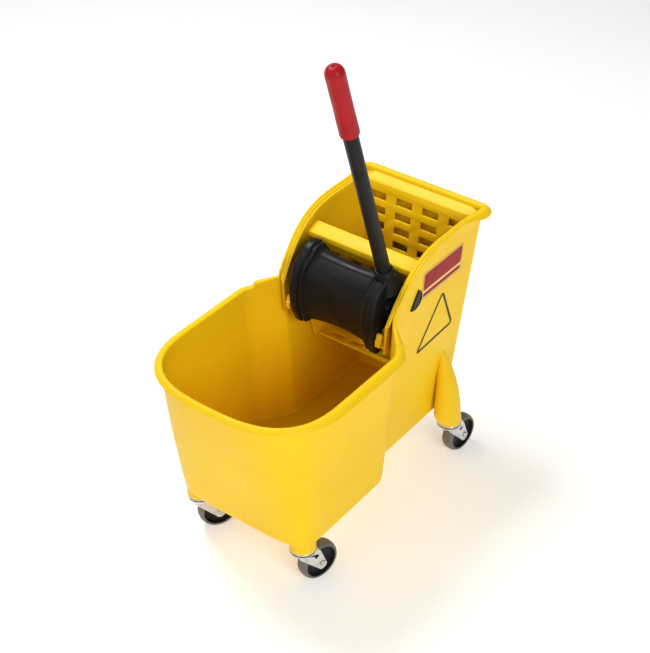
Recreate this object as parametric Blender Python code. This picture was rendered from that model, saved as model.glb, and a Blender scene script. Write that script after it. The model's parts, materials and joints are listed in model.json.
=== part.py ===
"""Mop bucket with a reverse-press wringer, on four swivel casters.

Metres, +Z up.  -Y is the front (the open tank), +Y the back (the tall wringer housing) and +X the
right-hand side.  The origin is on the floor, under the middle of the object's box.
"""

import math

import bmesh
import bpy
from mathutils import Matrix, Vector

# ---------------------------------------------------------------- driving dimensions
GAP = 0.0003  # clearance between pieces that touch

# bucket: plan half-widths and ends of the outer wall, at the floor of the tank and at the front rim
FLOOR_Z = 0.105
RIM_Z = 0.398
HOUSING_Z = 0.520
WALL = 0.0035
FLOOR_THICKNESS = 0.004
FLOOR_RADIUS = 0.008
TANK_HALF_WIDTH = (0.143, 0.1645)
TANK_FRONT_Y = (-0.251, -0.3100)
TANK_CORNER_Y = -0.170
TANK_CORNER_POWER = (5.0, 2.8)
SHOULDER_START_Y = (-0.022, -0.012)
SHOULDER_END_Y = (0.046, 0.036)
SHOULDER_START_RADIUS = (0.034, 0.040)
SHOULDER_END_RADIUS = (0.012, 0.014)
HOUSING_HALF_WIDTH = (0.1043, 0.1206)
HOUSING_BACK_Y = (0.2517, 0.2888)
HOUSING_CORNER_RADIUS = 0.008
RIM_RISE_START_Y = 0.013
RIM_RISE_LENGTH = 0.178
RIM_RISE_EASE = 0.045
RIM_WIDTH = 0.0165  # along the sides of the tank and along the back
RIM_WIDTH_FRONT = 0.0112
RIM_WIDTH_SIDE = 0.003  # up the sides of the housing
RIM_FRONT_Y = (-0.290, -0.180)
RIM_NARROWS_Y = (-0.016, 0.044)
RIM_WIDENS_Y = (0.225, 0.280)
RIM_SKIRT = 0.0115

# wringer
LINER_GAP = 0.0035  # housing wall to cheek
LINER_THICKNESS = 0.0045
LEAN = 0.13  # how far the grid and the press plate lean back, per metre of height
GRID_FACE_Y = 0.283
GRID_FACE_Z = 0.502
GRID_THICKNESS = 0.004
GRID_BOTTOM_Z = 0.206
LEDGE_Z = 0.512
LEDGE_THICKNESS = 0.0045
LEDGE_CORNER = 0.009  # how far the ledge's corners are cut back
HOLE_WIDTH = 0.036
HOLE_HEIGHT = 0.0145
HOLE_PITCH_X = 0.058
HOLE_PITCH_Z = 0.0286
HOLE_COLUMNS = 4
TOP_HOLE_Z = 0.4690  # underside of the grid's top row
CROSSBAR_FRONT = (0.101, 0.4805)
CROSSBAR_BACK = (0.128, 0.4900)
PLATE_FACE_Y = 0.1225
PLATE_FACE_Z = 0.450
PLATE_TOP_Z = 0.470
PLATE_BOTTOM_Z = 0.300
PLATE_THICKNESS = 0.008
PLATE_HALF_WIDTH = 0.0985
STRAINER_THICKNESS = 0.0035

# rotor, lever and drive
PIVOT = Vector((0.0, 0.099, 0.431))
ROTOR_HALF_LENGTH = 0.090
FLANGE_THICKNESS = 0.0275
PIN_RADIUS = 0.009
PIN_CLEARANCE = 0.0004
PIN_NECK_RADIUS = 0.0045  # through the housing wall
CAP_RADIUS = 0.0205
CAP_THICKNESS = 0.003
CAP_FORWARD = 0.0054  # the cap's middle, ahead of the pivot
CAP_CUT_ANGLE = 60  # the cap is a half disc; this is the slope of its straight edge
BUSHING_RADIUS = 0.0115
PIN_DEPTH = 0.020  # into the rotor's end
LEVER_X = 0.076
LEVER_LEAN = math.radians(18.5)
LEVER_BASE = Vector((LEVER_X, 0.070, 0.481))
LEVER_LENGTH = 0.472
TUBE_RADIUS = 0.0127
TUBE_WALL = 0.0018
SOCKET_DEPTH = 0.026
GRIP_LENGTH = 0.139
GRIP_RADIUS = 0.0165
GEAR_RADIUS = 0.050  # pitch radius: press travel per radian of lever
GEAR_TEETH = 18  # on a full circle
GEAR_ADDENDUM = 0.0045
GEAR_DEDENDUM = 0.0056
GEAR_BACKLASH = 0.0007
PRESSURE_ANGLE = math.radians(20)
GEAR_X = (0.0905, 0.1015)
RACK_X = (0.0925, 0.1020)

# casters
WHEEL_RADIUS = 0.038
HUB_RADIUS = 0.0312
TYRE_HALF_WIDTH = 0.0122
CASTER_TRAIL = 0.032
BOSS_RADIUS = 0.0236
BOSS_BOTTOM_Z = 0.0852
BOSS_TOP_Z = 0.170
LEG_TOP_Z = 0.246
LEG_SPREAD = 0.016  # how far a rear leg reaches forwards, just above its foot
LEG_SPREAD_Z = 0.110
FORK_TOP_Z = 0.0797
CASTERS = {
    "front_left": (-0.116, -0.2165, math.radians(-28)),
    "front_right": (0.116, -0.2165, math.radians(-14)),
    "rear_left": (-0.131, 0.2210, math.radians(8)),
    "rear_right": (0.131, 0.2210, math.radians(-5)),
}

ROUND = 20  # sides of a round piece
WHEEL_SIDES = 24


# ---------------------------------------------------------------- helpers
def clear_scene():
    for obj in list(bpy.data.objects):
        bpy.data.objects.remove(obj, do_unlink=True)


def material(name, colour, roughness, metallic=0.0):
    """One Principled material; the colour is linear RGB."""
    mat = bpy.data.materials.get(name) or bpy.data.materials.new(name)
    mat.use_nodes = True
    shader = mat.node_tree.nodes["Principled BSDF"]
    shader.inputs["Base Color"].default_value = (*colour, 1.0)
    shader.inputs["Roughness"].default_value = roughness
    shader.inputs["Metallic"].default_value = metallic
    return mat


def yellow():
    return material("yellow_plastic", (0.94, 0.62, 0.03), 0.38)


def black():
    return material("black_plastic", (0.012, 0.012, 0.014), 0.35)


def zinc():
    return material("zinc_plate", (0.60, 0.60, 0.58), 0.32, 1.0)


def make(name, verts, faces, mat, smooth=35):
    """A mesh object with its faces turned outwards and its round faces shaded smooth."""
    mesh = bpy.data.meshes.new(name)
    mesh.from_pydata([tuple(v) for v in verts], [], faces)
    work = bmesh.new()
    work.from_mesh(mesh)
    bmesh.ops.remove_doubles(work, verts=work.verts, dist=1e-7)
    bmesh.ops.recalc_face_normals(work, faces=work.faces)
    work.to_mesh(mesh)
    work.free()
    mesh.shade_smooth()
    mesh.set_sharp_from_angle(angle=math.radians(smooth))
    mesh.materials.append(mat)
    obj = bpy.data.objects.new(name, mesh)
    bpy.context.scene.collection.objects.link(obj)
    return obj


def rings_to_mesh(rings, closed_along):
    """Quads between rings of equal length; the ends are capped unless the rings close on themselves."""
    count = len(rings[0])
    verts = [point for ring in rings for point in ring]
    faces = []
    pairs = len(rings) if closed_along else len(rings) - 1
    for i in range(pairs):
        j = (i + 1) % len(rings)
        for k in range(count):
            m = (k + 1) % count
            faces.append((i * count + k, i * count + m, j * count + m, j * count + k))
    if not closed_along:
        faces.append(tuple(range(count)))
        last = (len(rings) - 1) * count
        faces.append(tuple(last + k for k in range(count)))
    return verts, faces


def loft(name, rings, mat, closed_along=False, smooth=35):
    verts, faces = rings_to_mesh(rings, closed_along)
    return make(name, verts, faces, mat, smooth)


def axis_frame(centre, axis):
    """A matrix whose Z is the given axis and whose X points up, or along +X if the axis is upright."""
    z = Vector(axis).normalized()
    x = Vector((1, 0, 0)) if abs(z.z) > 0.99 else Vector((0, 0, 1))
    x = (x - z * x.dot(z)).normalized()
    return Matrix.Translation(centre) @ Matrix((x, z.cross(x), z)).transposed().to_4x4()


def turned(name, profile, centre, axis, mat, sides=ROUND, ring=False):
    """A turned solid.  profile holds (radius, height) points; ring closes it into a sleeve."""
    place = axis_frame(centre, axis)
    rings = []
    for radius, height in profile:
        ring_points = []
        for k in range(sides):
            angle = 2 * math.pi * k / sides
            point = Vector((radius * math.cos(angle), radius * math.sin(angle), height))
            ring_points.append(place @ point)
        rings.append(ring_points)
    return loft(name, rings, mat, closed_along=ring)


def extruded(name, outline, start, end, frame, mat, smooth=35):
    """An outline in the frame's XY plane, extruded along its Z from start to end."""
    rings = [[frame @ Vector((x, y, h)) for x, y in outline] for h in (start, end)]
    return loft(name, rings, mat, smooth=smooth)


SIDE_PLANE = Matrix(((0, 0, 1, 0), (1, 0, 0, 0), (0, 1, 0, 0), (0, 0, 0, 1)))  # (y, z) outline, X depth


def helper(obj):
    """Marks an object as a cutter or a tool: it is not a piece."""
    obj.hide_render = True
    obj.display_type = "WIRE"
    return obj


def boolean(obj, tool, operation):
    modifier = obj.modifiers.new(f"{operation.lower()}_{tool.name}", "BOOLEAN")
    modifier.operation = operation
    modifier.solver = "EXACT"
    modifier.object = helper(tool)


def put_origin(point, *objects):
    """Moves the objects' origins to a point, such as one on a joint's axis; the shapes stay in place."""
    for obj in objects:
        obj.data.transform(Matrix.Translation(-Vector(point)))
        obj.location = point


def arc(centre, radius, start, end, steps):
    """Points on an arc, angles in degrees, both ends included."""
    points = []
    for k in range(steps + 1):
        angle = math.radians(start + (end - start) * k / steps)
        points.append((centre[0] + radius * math.cos(angle), centre[1] + radius * math.sin(angle)))
    return points


def fillet(before, corner, after, radius, steps):
    """The arc that rounds the corner of a path."""
    a = (Vector(before) - Vector(corner)).normalized()
    b = (Vector(after) - Vector(corner)).normalized()
    half = a.angle(b) / 2
    centre = Vector(corner) + (a + b).normalized() * radius / math.sin(half)
    first = Vector(corner) + a * radius / math.tan(half) - centre
    last = Vector(corner) + b * radius / math.tan(half) - centre
    sweep = first.angle_signed(last)
    points = []
    for k in range(steps + 1):
        spoke = first.copy()
        spoke.rotate(Matrix.Rotation(-sweep * k / steps, 2))
        points.append(tuple(centre + spoke))
    return points


def lerp(pair, t):
    return pair[0] + (pair[1] - pair[0]) * t


def level(z):
    """0 at the tank floor, 1 at the front rim, more than 1 up the housing."""
    return (z - FLOOR_Z) / (RIM_Z - FLOOR_Z)


def housing_half_width(z):
    return lerp(HOUSING_HALF_WIDTH, level(z))


def liner_x(z):
    """Inner face of the wringer's cheek at a height."""
    return housing_half_width(z) - WALL - LINER_GAP - LINER_THICKNESS


def grid_y(z):
    return GRID_FACE_Y + LEAN * (z - GRID_FACE_Z)


def plate_y(z):
    return PLATE_FACE_Y + LEAN * (z - PLATE_FACE_Z)


# ---------------------------------------------------------------- bucket body
def half_outline(t):
    """The outer wall's plan from the middle of the front round to the middle of the back, x >= 0."""
    half, front = lerp(TANK_HALF_WIDTH, t), lerp(TANK_FRONT_Y, t)
    rear_half, back = lerp(HOUSING_HALF_WIDTH, t), lerp(HOUSING_BACK_Y, t)
    power = 2 / lerp(TANK_CORNER_POWER, min(t, 1.0))
    points = []
    front_steps = 10
    for k in range(front_steps + 1):
        angle = math.pi / 2 * k / front_steps
        x = half * math.sin(angle) ** power
        y = TANK_CORNER_Y + (front - TANK_CORNER_Y) * max(math.cos(angle), 0.0) ** power
        points.append((x, y))
    start, end = (half, lerp(SHOULDER_START_Y, t)), (rear_half, lerp(SHOULDER_END_Y, t))
    points += fillet((half, TANK_CORNER_Y), start, end, lerp(SHOULDER_START_RADIUS, t), 4)
    points += fillet(start, end, (rear_half, back), lerp(SHOULDER_END_RADIUS, t), 3)
    side_start, side_end = points[-1][1], back - HOUSING_CORNER_RADIUS
    side_steps = 7
    for k in range(1, side_steps):
        points.append((rear_half, lerp((side_start, side_end), (k / side_steps) ** 1.4)))
    points += fillet((rear_half, TANK_CORNER_Y), (rear_half, back), (0, back), HOUSING_CORNER_RADIUS, 4)
    points.append((0.0, back))
    return points


def outline(t):
    half = half_outline(t)
    return half + [(-x, y) for x, y in reversed(half[1:-1])]


def offset_outline(t, distance):
    """The plan outline moved outwards (or, with a negative distance, inwards)."""
    points = [Vector(p) for p in outline(t)]
    moved = []
    for k, point in enumerate(points):
        along = points[(k + 1) % len(points)] - points[k - 1]
        moved.append(point + Vector((along.y, -along.x)).normalized() * distance)
    return moved


def rim_height(y):
    """Height of the rim: low round the tank, then an S-curve up to the top of the housing."""
    u = min(max((y - RIM_RISE_START_Y) / RIM_RISE_LENGTH, 0.0), 1.0)
    eased = u * u / (u + RIM_RISE_EASE)
    return RIM_Z + (HOUSING_Z - RIM_Z) * (1 - (1 - eased) ** 3)


def ease(value, start, end):
    """0 below start, 1 above end and a smooth step in between."""
    u = min(max((value - start) / (end - start), 0.0), 1.0)
    return u * u * (3 - 2 * u)


def rim_width(y):
    """How far the rim stands out from the wall."""
    if y < RIM_NARROWS_Y[0]:
        return lerp((RIM_WIDTH_FRONT, RIM_WIDTH), ease(y, *RIM_FRONT_Y))
    share = 1 - ease(y, *RIM_NARROWS_Y) + ease(y, *RIM_WIDENS_Y)
    return lerp((RIM_WIDTH_SIDE, RIM_WIDTH), share)


def wall_ring(distance, z):
    return [Vector((p.x, p.y, z)) for p in offset_outline(level(z), distance)]


def rim_ring(share, drop, inset=0.0):
    """A ring that follows the rim: a share of its width outside the wall, less the inset, and this far
    below its top."""
    ring = []
    for k, (_, y) in enumerate(outline(1.0)):
        z = rim_height(y) - drop
        point = offset_outline(level(z), rim_width(y) * share - inset)[k]
        ring.append(Vector((point.x, point.y, z)))
    return ring


def core(bottom, top):
    """The tank's inside up to the middle of its wall: what a leg or a boss stops at."""
    rings = [wall_ring(-WALL / 2, bottom), wall_ring(-WALL / 2, top)]
    return helper(loft("core", rings, yellow()))


def leg(name, x, y):
    """A front boss is an upright round post; a rear leg leans in and narrows up the housing's side, and
    spreads forwards just above its foot."""
    if y < 0:
        sections = [
            (BOSS_BOTTOM_Z, x, y, BOSS_RADIUS, 0.0), (BOSS_TOP_Z, x * 0.99, y + 0.002, BOSS_RADIUS, 0.0),
        ]
    else:
        sections = []
        steps = 5
        inner_x = housing_half_width(LEG_TOP_Z) - 0.012
        for k in range(steps + 1):
            rise = k / steps
            bend = 1 - rise**2.2
            z = lerp((BOSS_BOTTOM_Z, LEG_TOP_Z), rise)
            centre_x = math.copysign(lerp((inner_x, abs(x)), bend), x)
            spread = LEG_SPREAD * ease(z, BOSS_BOTTOM_Z, LEG_SPREAD_Z) * (1 - rise**1.5)
            sections.append((z, centre_x, y - 0.004 * rise, lerp((0.0095, BOSS_RADIUS), bend), spread))
    rings = []
    for z, cx, cy, radius, spread in sections:
        ring = []
        for px, py in arc((0, 0), radius, 0, 360 - 22.5, 15):
            ring.append(Vector((cx + px, cy - spread / 2 + py * (1 + spread / 2 / radius), z)))
        rings.append(ring)
    return loft(f"{name}_post", rings, yellow())


def bucket_body():
    inside = -WALL
    floor_in = FLOOR_Z + FLOOR_THICKNESS
    quarter = FLOOR_RADIUS * (1 - math.sqrt(0.5))
    rings = [
        wall_ring(-FLOOR_RADIUS, FLOOR_Z),
        wall_ring(-quarter, FLOOR_Z + quarter),
        wall_ring(0.0, FLOOR_Z + FLOOR_RADIUS),
        rim_ring(0.0, 0.0075),
        rim_ring(0.8, 0.0085),
        rim_ring(0.8, RIM_SKIRT),
        rim_ring(1.0, RIM_SKIRT),
        rim_ring(1.0, 0.0065),
        rim_ring(0.8, 0.0030),
        rim_ring(0.35, 0.0),
        rim_ring(0.0, 0.0, 0.0010),
        rim_ring(0.0, 0.0025, WALL),
        wall_ring(inside, floor_in + FLOOR_RADIUS),
        wall_ring(inside - quarter, floor_in + quarter),
        wall_ring(inside - FLOOR_RADIUS, floor_in),
    ]
    body = loft("bucket_body", rings, yellow())
    for name, (x, y, _) in CASTERS.items():
        post = leg(name, x, y)
        boolean(post, core(FLOOR_Z + FLOOR_THICKNESS / 2, 0.30), "DIFFERENCE")
        boolean(body, post, "UNION")
    for name, (x, y, _) in CASTERS.items():
        bore = turned(f"{name}_bore", [(0.0059, 0.080), (0.0059, 0.1032)], (x, y, 0), (0, 0, 1), zinc(), 12)
        boolean(body, bore, "DIFFERENCE")
    for side in (-1, 1):
        start = Vector((side * 0.100, PIVOT.y, PIVOT.z))
        bore = PIN_NECK_RADIUS + PIN_CLEARANCE
        hole = turned(f"pin_hole_{side}", [(bore, 0), (bore, 0.040)], start, (side, 0, 0), black(), 16)
        boolean(body, hole, "DIFFERENCE")
    return body


# ---------------------------------------------------------------- fixed wringer parts
def liner_plate(name, side, outline_yz, inner_offset, outer_offset, mat):
    """A plate that leans with the housing's side wall; offsets are inwards from the outer wall face."""
    rings = []
    for offset in (outer_offset, inner_offset):
        rings.append([Vector((side * (housing_half_width(z) - offset), y, z)) for y, z in outline_yz])
    return loft(name, rings, mat)


def cheek(side, name):
    """The wringer's side liner: its top edge follows the rim and its foot rises towards the front."""
    top = []
    front_y, back_y, steps = 0.026, 0.276, 12
    for k in range(steps + 1):
        y = front_y + (back_y - front_y) * (k / steps) ** 1.3
        top.append((y, rim_height(y) - 0.006))
    back_top = grid_y(0.498) - GAP
    back_bottom = grid_y(GRID_BOTTOM_Z) - GAP
    outline_yz = [(0.026, 0.349), (0.026, 0.380)] + [p for p in top if p[0] < back_top - 0.012]
    outline_yz += [(back_top, 0.498), (back_bottom, GRID_BOTTOM_Z), (0.108, 0.250), (0.088, 0.340)]
    outer = WALL + LINER_GAP
    plate = liner_plate(name, side, outline_yz, outer + LINER_THICKNESS, outer, yellow())
    rail_z = PIVOT.z - GEAR_RADIUS - GEAR_DEDENDUM - 0.014
    rail = [(0.030, rail_z - 0.005), (0.205, rail_z - 0.005), (0.205, rail_z), (0.030, rail_z)]
    inner = side * (PLATE_HALF_WIDTH + 0.0006)
    outer_x = side * (housing_half_width(rail_z) - outer - LINER_THICKNESS / 2)
    rings = [[Vector((x, y, z)) for y, z in rail] for x in (inner, outer_x)]
    boolean(plate, loft(f"{name}_rail", rings, yellow()), "UNION")
    stop_low, stop_high, stop_depth = PLATE_BOTTOM_Z + 0.006, PLATE_BOTTOM_Z + 0.012, 0.007
    stop_y = plate_y(stop_low) - GAP
    stop = [
        (stop_y - stop_depth, stop_low), (stop_y, stop_low),
        (stop_y, stop_high), (stop_y - stop_depth, stop_high),
    ]
    outer_x = side * (housing_half_width(stop_high) - outer - LINER_THICKNESS / 2)
    rings = [[Vector((x, y, z)) for y, z in stop] for x in (side * (PLATE_HALF_WIDTH - 0.006), outer_x)]
    boolean(plate, loft(f"{name}_stop", rings, yellow()), "UNION")
    start = Vector((side * 0.095, PIVOT.y, PIVOT.z))
    bore = PIN_RADIUS + PIN_CLEARANCE
    hole = turned(f"{name}_hole", [(bore, 0), (bore, 0.024)], start, (side, 0, 0), black(), 16)
    boolean(plate, hole, "DIFFERENCE")
    return plate


def crossbar():
    """A sloping channel across the front of the mop opening, between the cheeks."""
    (y0, z0), (y1, z1) = CROSSBAR_FRONT, CROSSBAR_BACK
    wall, lip = 0.0035, 0.011
    outline_yz = [
        (y0, z0 - lip), (y0 + wall, z0 - lip), (y0 + wall, z0 - wall * 0.8), (y1 - wall, z1 - wall * 1.2),
        (y1 - wall, z1 - lip - 0.001), (y1, z1 - lip - 0.001), (y1, z1 - 0.0015), (y1 - 0.0015, z1),
        (y0 + 0.0015, z0 + 0.0004), (y0, z0 - 0.0012),
    ]
    rings = []
    for side in (-1, 1):
        rings.append([Vector((side * (liner_x(z) - GAP), y, z)) for y, z in outline_yz])
    return loft("wringer_crossbar", rings, yellow())


def slotted_plate(name, columns, rows, place, thickness, mat, plain_rows=0):
    """A plate with a hole in every odd cell of its lattice, apart from the last plain_rows rows.
    place(column, row) gives a point of its face, and thickness(row) leads from there to its back.
    columns and rows are the lattice lines."""
    verts, faces, index = [], [], {}

    def vertex(i, j, depth):
        if (i, j, depth) not in index:
            index[i, j, depth] = len(verts)
            verts.append(place(columns[i], rows[j]) + Vector(thickness(rows[j])) * depth)
        return index[i, j, depth]

    def solid(i, j):
        inside = 0 <= i < len(columns) - 1 and 0 <= j < len(rows) - 1
        return inside and (j >= len(rows) - 1 - plain_rows or not (i % 2 and j % 2))

    for i in range(len(columns) - 1):
        for j in range(len(rows) - 1):
            if not solid(i, j):
                continue
            corners = [(i, j), (i + 1, j), (i + 1, j + 1), (i, j + 1)]
            for depth in (0, 1):
                faces.append(tuple(vertex(a, b, depth) for a, b in corners))
            neighbours = [(i, j - 1), (i + 1, j), (i, j + 1), (i - 1, j)]
            for k, (ni, nj) in enumerate(neighbours):
                if not solid(ni, nj):
                    a, b = corners[k], corners[(k + 1) % 4]
                    faces.append((vertex(*a, 0), vertex(*b, 0), vertex(*b, 1), vertex(*a, 1)))
    return make(name, verts, faces, mat, smooth=20)


def hole_columns(half_width, hole_width=HOLE_WIDTH, pitch=HOLE_PITCH_X, count=HOLE_COLUMNS):
    lines = [-half_width]
    for k in range(count):
        centre = (k - (count - 1) / 2) * pitch
        lines += [centre - hole_width / 2, centre + hole_width / 2]
    return lines + [half_width]


def hole_rows(bottom, top, top_hole, count):
    lines = []
    for k in range(count):
        low = top_hole - k * HOLE_PITCH_Z
        lines += [low + HOLE_HEIGHT, low]
    return [bottom] + sorted(lines) + [top]


def back_grid():
    """The fixed press face: a slotted plate on the housing's back.  Its top bends back into a ledge."""
    top_half = housing_half_width(GRID_FACE_Z) - WALL - 0.0015
    ledge_back_y = lerp(HOUSING_BACK_Y, level(LEDGE_Z)) - WALL - 0.0008

    def place(x, z):
        if z > GRID_FACE_Z:
            corner = LEDGE_CORNER if abs(x) == top_half else 0.0
            return Vector((x, ledge_back_y - corner, z))
        scale = (housing_half_width(z) - WALL - 0.0015) / top_half
        return Vector((x * scale, grid_y(z), z))

    def thickness(z):
        if z < GRID_FACE_Z:
            return (0, GRID_THICKNESS, 0)
        return (0, GRID_THICKNESS if z == GRID_FACE_Z else 0, -LEDGE_THICKNESS)

    rows = hole_rows(GRID_BOTTOM_Z, GRID_FACE_Z, TOP_HOLE_Z, 8) + [LEDGE_Z]
    return slotted_plate("back_grid", hole_columns(top_half), rows, place, thickness, yellow(), plain_rows=1)


def strainer_floor():
    """The slotted floor of the mop chamber, sloping down to the foot of the back grid."""
    front, back = (0.1120, 0.2560), (grid_y(0.213) - 0.0012, 0.2130)
    half = liner_x(back[1]) - GAP * 2

    def place(x, run):
        y = lerp((front[0], back[0]), run)
        z = lerp((front[1], back[1]), run)
        return Vector((x, y, z))

    columns = hole_columns(half, hole_width=0.030, pitch=0.046)
    rows = [0.0, 0.10, 0.24, 0.38, 0.52, 0.66, 0.80, 1.0]

    def thickness(_):
        return (0, 0, -STRAINER_THICKNESS)

    return slotted_plate("strainer_floor", columns, rows, place, thickness, yellow())


# ---------------------------------------------------------------- press
def press_plate():
    """The moving press face: a slotted plate behind the rotor."""

    def place(x, z):
        return Vector((x, plate_y(z), z))

    def thickness(_):
        return (0, PLATE_THICKNESS, 0)

    rows = hole_rows(PLATE_BOTTOM_Z, PLATE_TOP_Z, TOP_HOLE_Z - HOLE_PITCH_Z * 0.5, 6)
    columns = hole_columns(PLATE_HALF_WIDTH, hole_width=0.032, pitch=0.048)
    return slotted_plate("press_plate", columns, rows, place, thickness, yellow())


def press_rack(side, name):
    """A toothed arm on the press plate, under the drive gear.  Its teeth are straight-sided."""
    pitch = 2 * math.pi * GEAR_RADIUS / GEAR_TEETH
    pitch_z = PIVOT.z - GEAR_RADIUS
    lean = math.tan(PRESSURE_ANGLE)
    width = pitch / 2 - GEAR_BACKLASH
    crest, root = pitch_z + GEAR_ADDENDUM, pitch_z - GEAR_DEDENDUM
    bottom = root - 0.0135
    end_y = plate_y(bottom) - GAP
    start_y = 0.0212
    teeth = []
    first = math.ceil((start_y + width * 0.8 - PIVOT.y) / pitch)
    last = math.floor((end_y - width * 0.8 - PIVOT.y) / pitch)
    for k in range(first, last + 1):
        centre = PIVOT.y + k * pitch
        teeth += [
            (centre - width / 2 - GEAR_DEDENDUM * lean, root),
            (centre - width / 2 + GEAR_ADDENDUM * lean, crest),
            (centre + width / 2 - GEAR_ADDENDUM * lean, crest),
            (centre + width / 2 + GEAR_DEDENDUM * lean, root),
        ]
    outline_yz = [(start_y, bottom), (start_y, root)] + teeth + [(end_y, root), (end_y, bottom)]
    start, end = (RACK_X if side > 0 else (-RACK_X[1], -RACK_X[0]))
    return extruded(name, outline_yz, start, end, SIDE_PLANE, yellow())


def gear_tooth_edge(radius):
    """Half the angle that a tooth takes up at a radius, for an involute flank."""
    base = GEAR_RADIUS * math.cos(PRESSURE_ANGLE)

    def involute(r):
        roll = math.acos(min(base / r, 1.0))
        return math.tan(roll) - roll

    half_at_pitch = math.pi / GEAR_TEETH / 2 - GEAR_BACKLASH / 2 / GEAR_RADIUS
    return half_at_pitch + involute(GEAR_RADIUS) - involute(max(radius, base))


def drive_gear(side, name):
    """A toothed sector on the rotor's end.  A gap between teeth faces straight down at rest."""
    pitch_angle = 360 / GEAR_TEETH
    root = GEAR_RADIUS - GEAR_DEDENDUM
    tip = GEAR_RADIUS + GEAR_ADDENDUM
    points = arc((0, 0), 0.017, -60, 115, 7)
    first_tooth = 270 - 4.5 * pitch_angle
    teeth = []
    for k in range(6):
        centre = first_tooth + k * pitch_angle
        for radius in (root, GEAR_RADIUS, tip):
            teeth.append((radius, centre - math.degrees(gear_tooth_edge(radius))))
        for radius in (tip, GEAR_RADIUS, root):
            teeth.append((radius, centre + math.degrees(gear_tooth_edge(radius))))
    for radius, angle in teeth:
        points.append((radius * math.cos(math.radians(angle)), radius * math.sin(math.radians(angle))))
    outline_yz = [(PIVOT.y + y, PIVOT.z + z) for y, z in points]
    start, end = (GEAR_X if side > 0 else (-GEAR_X[1], -GEAR_X[0]))
    gear = extruded(name, outline_yz, start, end, SIDE_PLANE, black())
    bore = turned(f"{name}_bore", [(PIN_RADIUS + GAP, -0.03), (PIN_RADIUS + GAP, 0.03)],
                  (side * 0.096, PIVOT.y, PIVOT.z), (1, 0, 0), black(), 16)
    boolean(gear, bore, "DIFFERENCE")
    return gear


# ---------------------------------------------------------------- rotor and lever
def fan_outline(shrink):
    """The rotor's end plate about the pivot: hub at the back, a bulging front and a pointed lower corner."""
    hub = arc((0, 0), 0.0185, -30, 50, 4)
    corner = [(-0.0690 + shrink, -0.0925), (-0.0650 + shrink, -0.0955 + shrink * 0.5)]
    foot = [(-0.0200, -0.0815 + shrink * 0.5), (0.0020, -0.0500 + shrink * 0.5), (0.0120, -0.0220)]
    return hub + fan_front(shrink, 208) + corner + foot


def fan_front(shrink, low):
    """The rounded top and the bulging front that the flanges and the barrel share."""
    top = arc((-0.022, 0.020), 0.033 - shrink, 62, 140, 5)
    return top + arc((0.034, -0.030), 0.1195 - shrink, 150, low, 6)


def rotor_parts():
    """Two end flanges joined by a hollow saddle-shaped barrel, with the lever's socket on the right one."""
    flanges = []
    for side in (-1, 1):
        outer, inner = side * ROTOR_HALF_LENGTH, side * (ROTOR_HALF_LENGTH - FLANGE_THICKNESS)
        edge = side * 0.004
        rings = []
        for x, shrink in ((inner, 0.003), (inner + edge, 0.0), (outer - edge, 0.0), (outer, 0.005)):
            rings.append([Vector((x, PIVOT.y + y, PIVOT.z + z)) for y, z in fan_outline(shrink)])
        flanges.append(loft(f"flange_{'left' if side < 0 else 'right'}", rings, black(), smooth=50))
    return flanges


def barrel():
    """The curved shell between the flanges: waisted in the middle, its lower edge arched."""
    reach = ROTOR_HALF_LENGTH - FLANGE_THICKNESS + 0.004
    stations, shell = 9, 0.0045
    rings = []
    for k in range(stations):
        across = -1 + 2 * k / (stations - 1)
        waist = 1 - across * across
        recess = 0.0115 + 0.006 * waist
        low = 214 - 1 * waist
        outer, inner = fan_front(recess, low), fan_front(recess + shell, low)[::-1]
        rings.append([Vector((across * reach, PIVOT.y + y, PIVOT.z + z)) for y, z in outer + inner])
    return loft("barrel", rings, black(), smooth=50)


def lever_axis():
    return Vector((0, -math.sin(LEVER_LEAN), math.cos(LEVER_LEAN)))


def rotor():
    left, body = rotor_parts()
    body.name = "rotor"
    body.data.name = "rotor"
    boolean(body, barrel(), "UNION")
    boolean(body, left, "UNION")
    profile = [(0.0172, -0.020), (0.0172, 0.0030), (0.0162, 0.0045)]
    socket = turned("socket", profile, LEVER_BASE, lever_axis(), black(), 20)
    boolean(body, socket, "UNION")
    hole = turned("socket_hole", [(TUBE_RADIUS + GAP, -SOCKET_DEPTH), (TUBE_RADIUS + GAP, 0.03)], LEVER_BASE,
                  lever_axis(), black(), 20)
    boolean(body, hole, "DIFFERENCE")
    for side in (-1, 1):
        end = Vector((side * (ROTOR_HALF_LENGTH - PIN_DEPTH - 0.001), PIVOT.y, PIVOT.z))
        bore = turned(f"bore_{side}", [(BUSHING_RADIUS + GAP, 0), (BUSHING_RADIUS + GAP, 0.04)], end,
                      (side, 0, 0), black(), 16)
        boolean(body, bore, "DIFFERENCE")
    return body


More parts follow.
